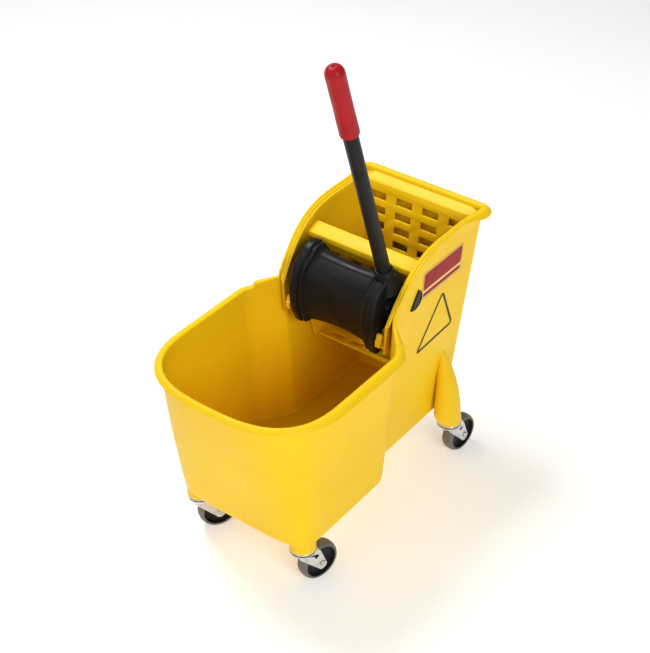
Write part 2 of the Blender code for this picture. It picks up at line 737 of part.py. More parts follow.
def lever_parts():
    axis = lever_axis()
    steel = material("black_tube", (0.015, 0.015, 0.017), 0.40, 0.2)
    red = material("red_grip", (0.42, 0.008, 0.018), 0.45)
    inner = TUBE_RADIUS - TUBE_WALL
    low, high = -SOCKET_DEPTH + GAP, LEVER_LENGTH - 0.010
    tube = turned("lever_tube", [(inner, low), (TUBE_RADIUS, low), (TUBE_RADIUS, high), (inner, high)],
                  LEVER_BASE, axis, steel, 20, ring=True)
    collar = turned("lever_collar", [
        (TUBE_RADIUS + GAP, 0.0048), (0.0170, 0.0048), (0.0170, 0.0083), (0.0156, 0.0095), (0.0156, 0.0125),
        (0.0148, 0.0140), (TUBE_RADIUS + GAP, 0.0140)], LEVER_BASE, axis, black(), 20, ring=True)
    bottom, top, bore = LEVER_LENGTH - GRIP_LENGTH, LEVER_LENGTH, TUBE_RADIUS + GAP
    grip = turned("lever_grip", [
        (bore, bottom), (GRIP_RADIUS - 0.002, bottom), (GRIP_RADIUS, bottom + 0.004),
        (GRIP_RADIUS, top - 0.016),
        (GRIP_RADIUS * 0.93, top - 0.009), (GRIP_RADIUS * 0.72, top - 0.003), (GRIP_RADIUS * 0.35, top),
        (0.0030, top - 0.0002), (0.0030, top - 0.006), (bore, top - 0.0095)],
        LEVER_BASE, axis, red, 20, ring=True)
    return [tube, collar, grip]


def pivot_pin(side, name):
    """A shouldered pin: thick inside the rotor and the cheek, a neck through the wall, a half-disc cap."""
    slope = (HOUSING_HALF_WIDTH[1] - HOUSING_HALF_WIDTH[0]) / (RIM_Z - FLOOR_Z)
    wall = housing_half_width(PIVOT.z)
    shoulder = wall - WALL - slope * PIN_RADIUS - GAP
    pin = turned(f"pivot_pin_{name}", [
        (PIN_RADIUS, ROTOR_HALF_LENGTH - PIN_DEPTH), (PIN_RADIUS, shoulder), (PIN_NECK_RADIUS, shoulder),
        (PIN_NECK_RADIUS, wall + CAP_THICKNESS / 2)], PIVOT, (side, 0, 0), black(), 20)
    frame = wall_frame(PIVOT.y - CAP_FORWARD, PIVOT.z, side)
    half_disc = arc((0, 0), CAP_RADIUS, CAP_CUT_ANGLE - 180, CAP_CUT_ANGLE, 12)
    boolean(pin, extruded(f"{name}_cap", half_disc, GAP, GAP + CAP_THICKNESS, frame, black()), "UNION")


def pivot_bush(side, name):
    """The bush inside the rotor's end that turns on the pin."""
    start, end, bore = ROTOR_HALF_LENGTH - PIN_DEPTH, GEAR_X[0] - GAP, PIN_RADIUS + GAP
    return turned(f"pivot_bush_{name}", [
        (bore, start), (BUSHING_RADIUS, start), (BUSHING_RADIUS, end), (bore, end)],
        PIVOT, (side, 0, 0), material("acetal_bush", (0.75, 0.74, 0.70), 0.4), 16, ring=True)


def return_spring():
    """A coil round the left pin that holds the lever up against its stop."""
    wire, radius, turns, per_turn = 0.0009, 0.0125, 2.25, 12
    start = -GEAR_X[1] - 0.0013
    pitch = 0.0023
    curve = bpy.data.curves.new("return_spring", "CURVE")
    curve.dimensions = "3D"
    curve.bevel_depth = wire
    curve.bevel_resolution = 1
    curve.use_fill_caps = True
    count = int(turns * per_turn) + 1
    spline = curve.splines.new("POLY")
    spline.points.add(count - 1)
    for k in range(count):
        angle = 2 * math.pi * k / per_turn
        x = start - pitch * k / per_turn
        point = (x, PIVOT.y + radius * math.cos(angle), PIVOT.z + radius * math.sin(angle), 1.0)
        spline.points[k].co = point
    curve.materials.append(material("spring_steel", (0.35, 0.35, 0.36), 0.3, 1.0))
    obj = bpy.data.objects.new("return_spring", curve)
    bpy.context.scene.collection.objects.link(obj)
    return obj


# ---------------------------------------------------------------- labels
def wall_frame(y, z, side=1):
    """A frame on a housing wall, the right-hand one by default: X runs back, Y up the wall, Z out of it."""
    slope = (HOUSING_HALF_WIDTH[1] - HOUSING_HALF_WIDTH[0]) / (RIM_Z - FLOOR_Z)
    up = Vector((side * slope, 0, 1)).normalized()
    back = Vector((0, 1, 0))
    out = back.cross(up) * side
    origin = Vector((side * housing_half_width(z), y, z))
    return Matrix.Translation(origin) @ Matrix((back, up, out)).transposed().to_4x4()


def rounded_polygon(corners, radius, steps=3):
    points = []
    for k, corner in enumerate(corners):
        points += fillet(corners[k - 1], corner, corners[(k + 1) % len(corners)], radius, steps)
    return points


def labels():
    """A plain label and a plain triangle outline, both with no words or marks."""
    frame = wall_frame(0.180, 0.446)
    plate = rounded_polygon([(-0.063, -0.030), (0.062, -0.030), (0.064, 0.029), (-0.063, 0.029)], 0.006)
    extruded("side_label", plate, GAP, GAP + 0.0006, frame, material("label_red", (0.45, 0.01, 0.015), 0.4))
    frame = wall_frame(0.182, 0.335)
    corners = [(-0.064, -0.039), (0.052, -0.033), (0.008, 0.062)]
    outer = rounded_polygon(corners, 0.009)
    middle = Vector((0.0, -0.006))
    inner = [tuple(middle + (Vector(p) - middle) * 0.86) for p in outer]
    rings = []
    for ring, height in ((outer, GAP), (outer, GAP + 0.0005), (inner, GAP + 0.0005), (inner, GAP)):
        rings.append([frame @ Vector((x, y, height)) for x, y in ring])
    loft("side_triangle", rings, material("label_black", (0.02, 0.02, 0.02), 0.5), closed_along=True)


# ---------------------------------------------------------------- casters
def caster(name, x, y, yaw):
    """One swivel caster.  Its local u axis is the way it trails, v is the wheel's axle, z is up."""
    place = Matrix.Translation((x, y, 0)) @ Matrix.Rotation(yaw + math.pi / 2, 4, "Z")
    side_frame = place @ Matrix(((1, 0, 0, 0), (0, 0, -1, 0), (0, 1, 0, 0), (0, 0, 0, 1)))
    axle = place @ Vector((CASTER_TRAIL, 0, WHEEL_RADIUS))
    axle_dir = place.to_3x3() @ Vector((0, 1, 0))
    top = FORK_TOP_Z
    turned(f"caster_stem_{name}", [
        (0.0062, top - 0.0062), (0.0062, top - 0.0034), (0.0050, top - 0.0034), (0.0050, top + 0.0034),
        (0.0225, top + 0.0034), (0.0225, BOSS_BOTTOM_Z - GAP), (0.0055, BOSS_BOTTOM_Z - GAP),
        (0.0055, 0.1020)],
        (x, y, 0), (0, 0, 1), zinc(), 14)
    turned(f"caster_race_{name}", [
        (0.0054, top + GAP), (0.0190, top + GAP), (0.0190, top + 0.0031), (0.0054, top + 0.0031)],
        (x, y, 0), (0, 0, 1), material("race_steel", (0.4, 0.4, 0.4), 0.35, 1.0), 14, ring=True)

    plate_points = arc((0, 0), 0.0235, 40, 320, 9) + [(0.0225, -0.0163), (0.0225, 0.0163)]
    fork = extruded(f"caster_fork_{name}", plate_points, top - 0.0025, top, place, zinc())
    side_points = [
        (-0.017, top - 0.001), (0.0195, top - 0.001), (0.0265, 0.0725), (0.0410, 0.0345), (0.0385, 0.0285),
        (0.0320, 0.0250), (0.0265, 0.0265), (-0.0170, 0.0735)]
    for edge in (-0.0163, 0.0138):
        cheek_plate = extruded(f"{name}_leg_{edge}", side_points, edge, edge + 0.0025, side_frame, zinc())
        boolean(fork, cheek_plate, "UNION")
    pin_hole = turned(f"{name}_pin_hole", [(0.0053, 0.070), (0.0053, 0.09)], (x, y, 0), (0, 0, 1), zinc(), 12)
    boolean(fork, pin_hole, "DIFFERENCE")
    axle_hole = turned(f"{name}_axle_hole", [(0.0038, -0.03), (0.0038, 0.03)], axle, axle_dir, zinc(), 12)
    boolean(fork, axle_hole, "DIFFERENCE")
    slot_points = [(0.0160, 0.0570), (0.0235, 0.0600), (0.0212, 0.0660), (0.0137, 0.0630)]
    slot = extruded(f"{name}_slot", slot_points, -0.03, 0.03, side_frame, zinc())
    boolean(fork, slot, "DIFFERENCE")

    head, shank, reach = 0.0055, 0.0035, 0.0166
    axle_pin = turned(f"caster_axle_{name}", [
        (head, -reach - 0.0016), (head, -reach), (shank, -reach), (shank, reach), (head, reach),
        (head, reach + 0.0016)],
        axle, axle_dir, material("axle_steel", (0.5, 0.5, 0.5), 0.3, 1.0), 10)
    half = TYRE_HALF_WIDTH
    hub = turned(f"caster_hub_{name}", [
        (0.0039, -0.0130), (0.0090, -0.0130), (0.0105, -0.0045), (0.0280, -0.0045), (0.0280, -half),
        (HUB_RADIUS, -half), (HUB_RADIUS, half), (0.0280, half), (0.0280, 0.0045), (0.0105, 0.0045),
        (0.0090, 0.0130), (0.0039, 0.0130)], axle, axle_dir, black(), WHEEL_SIDES, ring=True)
    bore = HUB_RADIUS + GAP
    tyre = turned(f"caster_tyre_{name}", [
        (bore, -half), (0.0352, -half), (WHEEL_RADIUS, -0.0080), (WHEEL_RADIUS, 0.0080), (0.0352, half),
        (bore, half)],
        axle, axle_dir, material("grey_tyre", (0.16, 0.15, 0.13), 0.6), WHEEL_SIDES, ring=True)
    put_origin(place.translation, fork)
    put_origin(axle, axle_pin, hub, tyre)


def main():
    clear_scene()
    bucket_body()
    on_pivot = [rotor()] + lever_parts()
    on_press = [press_plate()]
    for side, name in ((-1, "left"), (1, "right")):
        cheek(side, f"wringer_cheek_{name}")
        on_press.append(press_rack(side, f"press_rack_{name}"))
        on_pivot.append(drive_gear(side, f"drive_gear_{name}"))
        on_pivot.append(pivot_bush(side, name))
        pivot_pin(side, name)
    put_origin(PIVOT, *on_pivot)
    put_origin(Vector((0, PLATE_FACE_Y, PLATE_FACE_Z)), *on_press)
    crossbar()
    back_grid()
    strainer_floor()
    return_spring()
    labels()
    for name, (x, y, yaw) in CASTERS.items():
        caster(name, x, y, yaw)


main()
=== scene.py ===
"""The looks of the mop bucket and its wringer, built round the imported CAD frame."""

import json
import math

import bmesh
import bpy
import numpy as np
from mathutils import Matrix, Vector


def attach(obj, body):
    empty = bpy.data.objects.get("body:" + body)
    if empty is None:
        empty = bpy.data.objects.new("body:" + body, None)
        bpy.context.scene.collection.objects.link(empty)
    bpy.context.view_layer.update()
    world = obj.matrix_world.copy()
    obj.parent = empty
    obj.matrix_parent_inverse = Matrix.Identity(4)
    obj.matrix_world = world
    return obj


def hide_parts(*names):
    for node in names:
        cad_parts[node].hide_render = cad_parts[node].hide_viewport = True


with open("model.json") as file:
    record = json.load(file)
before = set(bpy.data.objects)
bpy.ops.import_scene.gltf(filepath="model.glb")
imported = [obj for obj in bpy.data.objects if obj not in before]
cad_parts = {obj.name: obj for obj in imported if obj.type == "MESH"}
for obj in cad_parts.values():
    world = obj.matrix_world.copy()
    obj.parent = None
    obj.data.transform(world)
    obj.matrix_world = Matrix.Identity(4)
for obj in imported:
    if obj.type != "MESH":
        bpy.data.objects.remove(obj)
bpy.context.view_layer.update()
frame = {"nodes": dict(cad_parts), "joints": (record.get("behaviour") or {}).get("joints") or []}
NODES = frame["nodes"]
JOINTS = {joint["name"]: joint for joint in frame["joints"]}

# ---------------------------------------------------------------- measures, in metres
WALL = 0.0035
FLOOR_Z = 0.105
RIM_Z = 0.398
FLOOR_THICKNESS = 0.004
FLOOR_RADIUS = 0.007
TANK_HALF_WIDTH = (0.143, 0.1645)
TANK_FRONT_Y = (-0.251, -0.3100)
TANK_CORNER_Y = -0.170
TANK_CORNER_POWER = (5.0, 2.75)
SHOULDER_START_Y = (-0.022, -0.012)
SHOULDER_END_Y = (0.046, 0.036)
SHOULDER_START_RADIUS = (0.034, 0.042)
SHOULDER_END_RADIUS = (0.010, 0.013)
HOUSING_HALF_WIDTH = (0.1043, 0.1206)
HOUSING_BACK_Y = (0.2517, 0.2888)
HOUSING_CORNER_RADIUS = 0.008
HOUSING_Z = 0.520
RIM_RISE_START_Y = 0.013
RIM_RISE_LENGTH = 0.178
RIM_RISE_EASE = 0.045
RIM_WIDTH = 0.0165
RIM_WIDTH_FRONT = 0.0110
RIM_WIDTH_SIDE = 0.0026
RIM_FRONT_Y = (-0.290, -0.180)
RIM_NARROWS_Y = (-0.022, 0.044)
RIM_WIDENS_Y = (0.222, 0.280)
RIM_BEAD_WIDTH = 0.0045
RIM_BEAD_DEPTH = 0.007
PIVOT = Vector(JOINTS["lever_turn"]["pos_m"])
LEVER_LEAN = math.radians(18.5)
LEVER_BASE = Vector((0.076, 0.070, 0.481))
LEVER_LENGTH = 0.472
TUBE_RADIUS = 0.0127
TUBE_WALL = 0.0018
GRIP_LENGTH = 0.139
GRIP_RADIUS = 0.0165
WHEEL_RADIUS = 0.038
HUB_RADIUS = 0.0312
TYRE_HALF_WIDTH = 0.0122
BOSS_RADIUS = 0.0236
BOSS_BOTTOM_Z = 0.0852
BOSS_HEIGHT = 0.110
BOSS_SIDES = 48
LEG_TOP_Z = 0.248
LEG_TIP_RADIUS = 0.0030
LEG_TIP_INSET = 0.0045
LEG_SPREAD = 0.016
LEG_SPREAD_Z = 0.112
STEM_HOLE_RADIUS = 0.0059
STEM_HOLE_Z = (0.080, 0.1032)
PIN_RADIUS = 0.009
PIN_NECK_RADIUS = 0.0045
PIN_HOLE_RADIUS = 0.0049
PIN_INNER_X = 0.070
CAP_RADIUS = 0.0205
CAP_FORWARD = 0.0054
CAP_CUT_ANGLE = 60
BUSH_RADIUS = (0.0093, 0.0115)
BUSH_X = (0.070, 0.0902)
ROTOR_BORE_RADIUS = 0.0118
SPRING_WIRE_RADIUS = 0.0009
SPRING_RADIUS = 0.0125
SPRING_TURNS = 2.25
SPRING_PITCH = 0.0023
SPRING_START_X = -0.1028
FORK_TOP_Z = 0.0797
AXLE_HEAD_RADIUS = 0.0058
AXLE_RADIUS = 0.0035
AXLE_REACH = 0.0166
HUB_HALF_WIDTH = 0.0134
LABEL_AT = (0.180, 0.446)
TRIANGLE_AT = (0.182, 0.335)
CAMERA_AZIMUTH = math.radians(36.91)
CAMERA_ELEVATION = math.radians(36.15)
CAMERA_DISTANCE = 2.6236
CAMERA_AIM = Vector((0, 0.0021, 0.3755))
CAMERA_LENS_MM = 83.19
CAMERA_SENSOR_MM = 36.0
FLOOR_HALF_SIZE = 6.0
WORLD_STRENGTH = 0.24
LIGHTS = (  # name, place, width, height, watts
    ("key", (3.0, -1.5, 2.1), 1.8, 1.8, 68.0),
    ("overhead", (-1.2, 0.1, 2.7), 1.1, 1.1, 60.0),
    ("fill", (-0.3, -3.0, 1.7), 2.2, 1.4, 16.0),
)
CORNERS = ("front_left", "front_right", "rear_left", "rear_right")


# ---------------------------------------------------------------- node materials
class Nodes:
    """A small helper that wires up one material's node tree."""

    def __init__(self, name):
        self.mat = bpy.data.materials.new(name)
        self.mat.use_nodes = True
        self.tree = self.mat.node_tree
        self.shader = self.tree.nodes["Principled BSDF"]
        self.coords = self.tree.nodes.new("ShaderNodeTexCoord").outputs["Object"]

    def link(self, source, target):
        self.tree.links.new(source, target)

    def noise(self, scale, detail=4.0, roughness=0.55, stretch=None):
        node = self.tree.nodes.new("ShaderNodeTexNoise")
        node.inputs["Scale"].default_value = scale
        node.inputs["Detail"].default_value = detail
        node.inputs["Roughness"].default_value = roughness
        vector = self.coords
        if stretch:
            mapping = self.tree.nodes.new("ShaderNodeMapping")
            mapping.inputs["Scale"].default_value = stretch
            self.link(vector, mapping.inputs["Vector"])
            vector = mapping.outputs["Vector"]
        self.link(vector, node.inputs["Vector"])
        return node.outputs["Fac"]

    def ramp(self, source, low, high, low_value, high_value):
        """Maps a range of a value onto another range, clamped."""
        node = self.tree.nodes.new("ShaderNodeMapRange")
        sockets = ("From Min", "From Max", "To Min", "To Max")
        for socket, value in zip(sockets, (low, high, low_value, high_value)):
            node.inputs[socket].default_value = value
        self.link(source, node.inputs["Value"])
        return node.outputs["Result"]

    def patches(self, *noise):
        """A noise turned into a soft mask."""
        return self.ramp(self.noise(*noise), 0.3, 0.7, 0.0, 1.0)

    def mix(self, factor, first, second):
        """Blends two colours, each a tuple or a socket."""
        node = self.tree.nodes.new("ShaderNodeMix")
        node.data_type = "RGBA"
        self.link(factor, node.inputs["Factor"])
        for socket, colour in ((node.inputs[6], first), (node.inputs[7], second)):
            if isinstance(colour, tuple):
                socket.default_value = (*colour, 1.0)
            else:
                self.link(colour, socket)
        return node.outputs[2]

    def pointiness(self, low, high):
        """0 on flat ground and 1 on a sharp edge."""
        geometry = self.tree.nodes.new("ShaderNodeNewGeometry")
        return self.ramp(geometry.outputs["Pointiness"], low, high, 0.0, 1.0)

    def height(self):
        """0 at the floor and 1 half a metre up."""
        split = self.tree.nodes.new("ShaderNodeSeparateXYZ")
        self.link(self.coords, split.inputs["Vector"])
        return self.ramp(split.outputs["Z"], 0.0, 0.5, 0.0, 1.0)

    def bump(self, source, distance, strength=1.0, after=None):
        node = self.tree.nodes.new("ShaderNodeBump")
        node.inputs["Strength"].default_value = strength
        node.inputs["Distance"].default_value = distance
        self.link(source, node.inputs["Height"])
        if after is not None:
            self.link(after, node.inputs["Normal"])
        return node.outputs["Normal"]

    def finish(self, colour=None, roughness=None, normal=None, **fixed):
        """Wires the three sources to the shader and sets its other sockets to fixed values."""
        for name, source in (("Base Color", colour), ("Roughness", roughness), ("Normal", normal)):
            if source is not None:
                self.link(source, self.shader.inputs[name])
        for name, value in fixed.items():
            self.shader.inputs[name.replace("_", " ")].default_value = value
        return self.mat


def yellow_plastic():
    """Rotomoulded polyethylene: mottled, faintly orange-peeled, paler where edges are rubbed, and painted
    darker towards the floor as shade.
    """
    n = Nodes("yellow_moulded_plastic")
    mottle = n.patches(7.0, 5.0)
    base = n.mix(mottle, (0.860, 0.545, 0.006), (0.900, 0.595, 0.010))
    scuffs = n.ramp(n.noise(60.0, 8.0, 0.7, (1.0, 1.0, 0.35)), 0.60, 0.78, 0.0, 0.35)
    base = n.mix(scuffs, base, (0.940, 0.670, 0.028))
    base = n.mix(n.ramp(n.pointiness(0.53, 0.60), 0.0, 1.0, 0.0, 0.30), base, (0.965, 0.720, 0.045))
    # painted shade: the colour darkens towards the floor, standing in for the shade under the bucket
    base = n.mix(n.ramp(n.height(), 0.0, 0.30, 0.16, 0.0), base, (0.62, 0.38, 0.020))
    rough = n.ramp(n.noise(26.0, 6.0), 0.25, 0.75, 0.34, 0.50)
    peel = n.bump(n.noise(420.0, 2.0), 0.00012, 0.45)
    normal = n.bump(n.noise(5.0, 2.0), 0.0016, 0.25, peel)
    return n.finish(base, rough, normal, Specular_IOR_Level=0.16,
                    Subsurface_Weight=0.06, Subsurface_Radius=(0.010, 0.006, 0.001))


def black_plastic():
    """Black moulded nylon with a fine spark-eroded grain, greyer on its edges."""
    n = Nodes("black_moulded_plastic")
    base = n.mix(n.patches(18.0, 5.0), (0.0075, 0.0075, 0.0082), (0.013, 0.0128, 0.0135))
    base = n.mix(n.ramp(n.pointiness(0.53, 0.62), 0.0, 1.0, 0.0, 0.55), base, (0.045, 0.044, 0.046))
    dust = n.ramp(n.noise(90.0, 8.0, 0.75), 0.62, 0.80, 0.0, 0.20)
    base = n.mix(dust, base, (0.060, 0.055, 0.050))
    rough = n.ramp(n.noise(40.0, 5.0), 0.25, 0.75, 0.30, 0.44)
    return n.finish(base, rough, n.bump(n.noise(900.0, 1.0), 0.00010, 0.45), Specular_IOR_Level=0.16)


def tube_paint():
    """Satin black powder coat."""
    n = Nodes("black_powder_coat")
    base = n.mix(n.patches(30.0, 4.0, 0.5, (1.0, 1.0, 0.15)), (0.008, 0.008, 0.009), (0.014, 0.014, 0.015))
    scratches = n.ramp(n.noise(260.0, 3.0, 0.5, (1.0, 1.0, 0.04)), 0.66, 0.74, 0.0, 0.35)
    base = n.mix(scratches, base, (0.050, 0.050, 0.052))
    rough = n.ramp(n.noise(55.0, 4.0), 0.3, 0.7, 0.34, 0.46)
    return n.finish(base, rough, n.bump(n.noise(650.0, 2.0), 0.00014, 0.55), Specular_IOR_Level=0.14)


def red_vinyl():
    """Dip-moulded red vinyl, slightly darker where hands have held it."""
    n = Nodes("red_vinyl_grip")
    base = n.mix(n.patches(24.0, 5.0), (0.330, 0.0050, 0.0085), (0.410, 0.0070, 0.0110))
    base = n.mix(n.ramp(n.noise(120.0, 8.0, 0.7), 0.60, 0.75, 0.0, 0.22), base, (0.300, 0.012, 0.016))
    rough = n.ramp(n.noise(38.0, 5.0), 0.3, 0.7, 0.36, 0.52)
    return n.finish(base, rough, n.bump(n.noise(500.0, 2.0), 0.00012, 0.5), Specular_IOR_Level=0.20)


def zinc(name, tint_low, tint_high):
    """Bright zinc plate: fine rolling streaks and patchy passivation."""
    n = Nodes(name)
    patches = n.ramp(n.noise(60.0, 5.0), 0.35, 0.65, 0.0, 1.0)
    base = n.mix(patches, tint_low, tint_high)
    base = n.mix(n.ramp(n.noise(300.0, 6.0, 0.7), 0.62, 0.80, 0.0, 0.4), base, (0.26, 0.25, 0.23))
    rough = n.ramp(n.noise(140.0, 4.0, 0.6, (1.0, 1.0, 0.2)), 0.3, 0.7, 0.24, 0.40)
    streaks = n.bump(n.noise(380.0, 3.0, 0.6, (1.0, 1.0, 0.3)), 0.00008, 0.5)
    return n.finish(base, rough, streaks, Metallic=0.92)


def tyre_rubber():
    """Non-marking grey rubber with dust rubbed into the tread."""
    n = Nodes("grey_tyre_rubber")
    base = n.mix(n.patches(45.0, 6.0), (0.115, 0.104, 0.088), (0.165, 0.151, 0.128))
    base = n.mix(n.ramp(n.noise(210.0, 8.0, 0.7), 0.58, 0.74, 0.0, 0.45), base, (0.250, 0.232, 0.200))
    rough = n.ramp(n.noise(70.0, 5.0), 0.3, 0.7, 0.42, 0.62)
    return n.finish(base, rough, n.bump(n.noise(420.0, 3.0), 0.00018, 0.6))


def bush_plastic():
    """Off-white acetal, a little uneven in colour."""
    n = Nodes("acetal_bush")
    base = n.mix(n.patches(80.0, 4.0), (0.66, 0.65, 0.60), (0.76, 0.75, 0.71))
    rough = n.ramp(n.noise(90.0, 4.0), 0.3, 0.7, 0.3, 0.45)
    return n.finish(base, rough, n.bump(n.noise(500.0, 2.0), 0.00008, 0.4))


def label_film(name, low, high, wear):
    """Printed vinyl film, its ink slightly uneven and rubbed at the edges."""
    n = Nodes(name)
    base = n.mix(n.patches(55.0, 5.0), low, high)
    base = n.mix(n.ramp(n.noise(330.0, 8.0, 0.75), 0.66, 0.80, 0.0, 0.35), base, wear)
    rough = n.ramp(n.noise(60.0, 4.0), 0.3, 0.7, 0.28, 0.42)
    return n.finish(base, rough, n.bump(n.noise(260.0, 2.0), 0.00005, 0.4), Specular_IOR_Level=0.08)


def floor_paper():
    """Seamless white studio paper."""
    n = Nodes("studio_floor")
    base = n.mix(n.patches(3.0, 3.0), (0.885, 0.880, 0.872), (0.905, 0.902, 0.896))
    rough = n.ramp(n.noise(9.0, 4.0), 0.3, 0.7, 0.75, 0.9)
    return n.finish(base, rough, n.bump(n.noise(300.0, 2.0), 0.0001, 0.15),
                    Emission_Color=(1.0, 0.99, 0.975, 1.0), Emission_Strength=0.34)


YELLOW = yellow_plastic()
BLACK = black_plastic()
TUBE = tube_paint()
RED = red_vinyl()
ZINC = zinc("zinc_plate", (0.60, 0.60, 0.585), (0.74, 0.74, 0.72))
STEEL = zinc("axle_steel", (0.50, 0.49, 0.47), (0.64, 0.63, 0.61))
SPRING = zinc("spring_steel", (0.30, 0.30, 0.31), (0.42, 0.42, 0.43))
TYRE = tyre_rubber()
BUSH = bush_plastic()
LABEL_RED = label_film("label_red", (0.300, 0.0060, 0.0080), (0.350, 0.0080, 0.0100), (0.45, 0.10, 0.05))
LABEL_CREAM = label_film("label_cream", (0.80, 0.60, 0.16), (0.86, 0.68, 0.22), (0.70, 0.46, 0.06))
LABEL_BLACK = label_film("label_black", (0.020, 0.019, 0.014), (0.030, 0.028, 0.020), (0.30, 0.20, 0.02))


# ---------------------------------------------------------------- mesh helpers
def new_object(name, verts, faces, mat, smooth=32):
    """An object from its points and faces, in the scene."""
    mesh = bpy.data.meshes.new(name)
    mesh.from_pydata([tuple(map(float, v)) for v in verts], [], [tuple(map(int, f)) for f in faces])
    tidy_mesh(mesh, smooth)
    mesh.materials.append(mat)
    obj = bpy.data.objects.new(name, mesh)
    bpy.context.scene.collection.objects.link(obj)
    return obj


def tidy_mesh(mesh, smooth, flatten=False):
    """Welds the vertices, turns the faces outwards and shades all but the sharp edges smooth."""
    work = bmesh.new()
    work.from_mesh(mesh)
    bmesh.ops.remove_doubles(work, verts=work.verts, dist=2e-6)
    if flatten:
        bmesh.ops.dissolve_limit(work, angle_limit=math.radians(1.5), verts=work.verts, edges=work.edges)
    bmesh.ops.recalc_face_normals(work, faces=work.faces)
    work.to_mesh(mesh)
    work.free()
    mesh.shade_smooth()
    mesh.set_sharp_from_angle(angle=math.radians(smooth))


def baked(obj):
    """Turns an object's modifiers into plain mesh."""
    graph = bpy.context.evaluated_depsgraph_get()
    mesh = bpy.data.meshes.new_from_object(obj.evaluated_get(graph))
    obj.modifiers.clear()
    obj.data = mesh
    return obj


def combine(obj, tool, operation="UNION", smooth=32):
    """Adds a tool's solid to an object, or cuts it away, and deletes the tool."""
    modifier = obj.modifiers.new("combine", "BOOLEAN")
    modifier.operation = operation
    modifier.solver = "EXACT"
    modifier.object = tool
    baked(obj)
    bpy.data.objects.remove(tool, do_unlink=True)
    tidy_mesh(obj.data, smooth)
    return obj


def rounded(obj, width, segments=3, angle=28):
    """Rounds an object's sharp edges."""
    bevel = obj.modifiers.new("edges", "BEVEL")
    bevel.width = width
    bevel.segments = segments
    bevel.limit_method = "ANGLE"
    bevel.angle_limit = math.radians(angle)
    bevel.use_clamp_overlap = True
    bevel.miter_outer = "MITER_ARC"
    baked(obj)
    obj.data.shade_smooth()
    obj.data.set_sharp_from_angle(angle=math.radians(50))
    return obj


def place(obj, body, slot, *nodes):
    """The piece rides on a body and stands for the CAD nodes, which it hides; the slot argument is not used.
    """
    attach(obj, body)
    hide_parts(*nodes)
    return obj


def loft(name, rings, mat, closed_along=False, smooth=32):
    """A skin over a row of rings, capped at both ends or joined into a loop."""
    count = len(rings[0])
    verts = [point for ring in rings for point in ring]
    faces = []
    for i in range(len(rings) if closed_along else len(rings) - 1):
        j = (i + 1) % len(rings)
        for k in range(count):
            m = (k + 1) % count
            faces.append((i * count + k, i * count + m, j * count + m, j * count + k))
    if not closed_along:
        faces.append(tuple(range(count)))
        faces.append(tuple((len(rings) - 1) * count + k for k in range(count)))
    return new_object(name, verts, faces, mat, smooth)


def axis_frame(centre, axis):
    """A placement at a centre with its z along an axis."""
    z = Vector(axis).normalized()
    x = Vector((1, 0, 0)) if abs(z.z) > 0.99 else Vector((0, 0, 1))
    x = (x - z * x.dot(z)).normalized()
    return Matrix.Translation(centre) @ Matrix((x, z.cross(x), z)).transposed().to_4x4()


def soft_corners(points, radius, steps=4, closed=True):
    """Rounds the corners of a path of 2-D points; each keeps at most 45% of its shorter side."""
    result = []
    count = len(points)
    for k, point in enumerate(points):
        if not closed and k in (0, count - 1):
            result.append(tuple(point))
            continue
        here = Vector(point)
        before, after = Vector(points[k - 1]) - here, Vector(points[(k + 1) % count]) - here
        reach = min(radius, before.length * 0.45, after.length * 0.45)
        start, end = here + before.normalized() * reach, here + after.normalized() * reach
        for s in range(steps + 1):
            t = s / steps
            result.append(tuple(start * (1 - t) ** 2 + here * 2 * t * (1 - t) + end * t * t))
    return result


def turned(name, profile, centre, axis, mat, sides=64, ring=False, radius=0.0006, smooth=40):
    """A turned solid with softened corners.  profile holds (radius, height) points."""
    frame_at = axis_frame(centre, axis)
    path = soft_corners(profile, radius, 3, closed=ring) if radius else profile
    rings = []
    for r, h in path:
        turn = [2 * math.pi * k / sides for k in range(sides)]
        rings.append([frame_at @ Vector((r * math.cos(a), r * math.sin(a), h)) for a in turn])
    return loft(name, rings, mat, closed_along=ring, smooth=smooth)


def arc(centre, radius, start, end, steps):
    """Points on an arc between two angles in degrees."""
    turn = [math.radians(start + (end - start) * k / steps) for k in range(steps + 1)]
    return [(centre[0] + radius * math.cos(a), centre[1] + radius * math.sin(a)) for a in turn]


def drilled(obj, radius, reach, centre, axis, sides, smooth):
    """Cuts a round hole; reach is its two ends along the axis."""
    profile = [(radius, end) for end in reach]
    tool = turned("hole", profile, centre, axis, obj.data.materials[0], sides, radius=0)
    return combine(obj, tool, "DIFFERENCE", smooth=smooth)


def extruded(name, outline, start, end, frame_at, mat, smooth=32):
    """A flat outline drawn out between two heights."""
    rings = [[frame_at @ Vector((x, y, h)) for x, y in outline] for h in (start, end)]
    return loft(name, rings, mat, smooth=smooth)


def cad_copy(node, mat):
    """A CAD node's shape as a new object, its coplanar facets merged."""
    mesh = NODES[node].data.copy()
    mesh.materials.clear()
    mesh.materials.append(mat)
    for polygon in mesh.polygons:
        polygon.material_index = 0
    tidy_mesh(mesh, 30, flatten=True)
    obj = bpy.data.objects.new(f"{node}_finished", mesh)
    bpy.context.scene.collection.objects.link(obj)
    return obj


def refined(node, body, slot, mat, width, segments=3):
    """A CAD node's shape with its edges rounded."""
    return place(rounded(cad_copy(node, mat), width, segments), body, slot, node)


# ---------------------------------------------------------------- bucket shell
def lerp(pair, t):
    """A value between the two of a pair, which belong to the floor and the rim."""
    return pair[0] + (pair[1] - pair[0]) * t


def level(z):
    """0 at the tank's floor and 1 at its rim."""
    return (z - FLOOR_Z) / (RIM_Z - FLOOR_Z)


def housing_half_width(z):
    """From the middle to the outside of the housing's side wall."""
    return lerp(HOUSING_HALF_WIDTH, level(z))


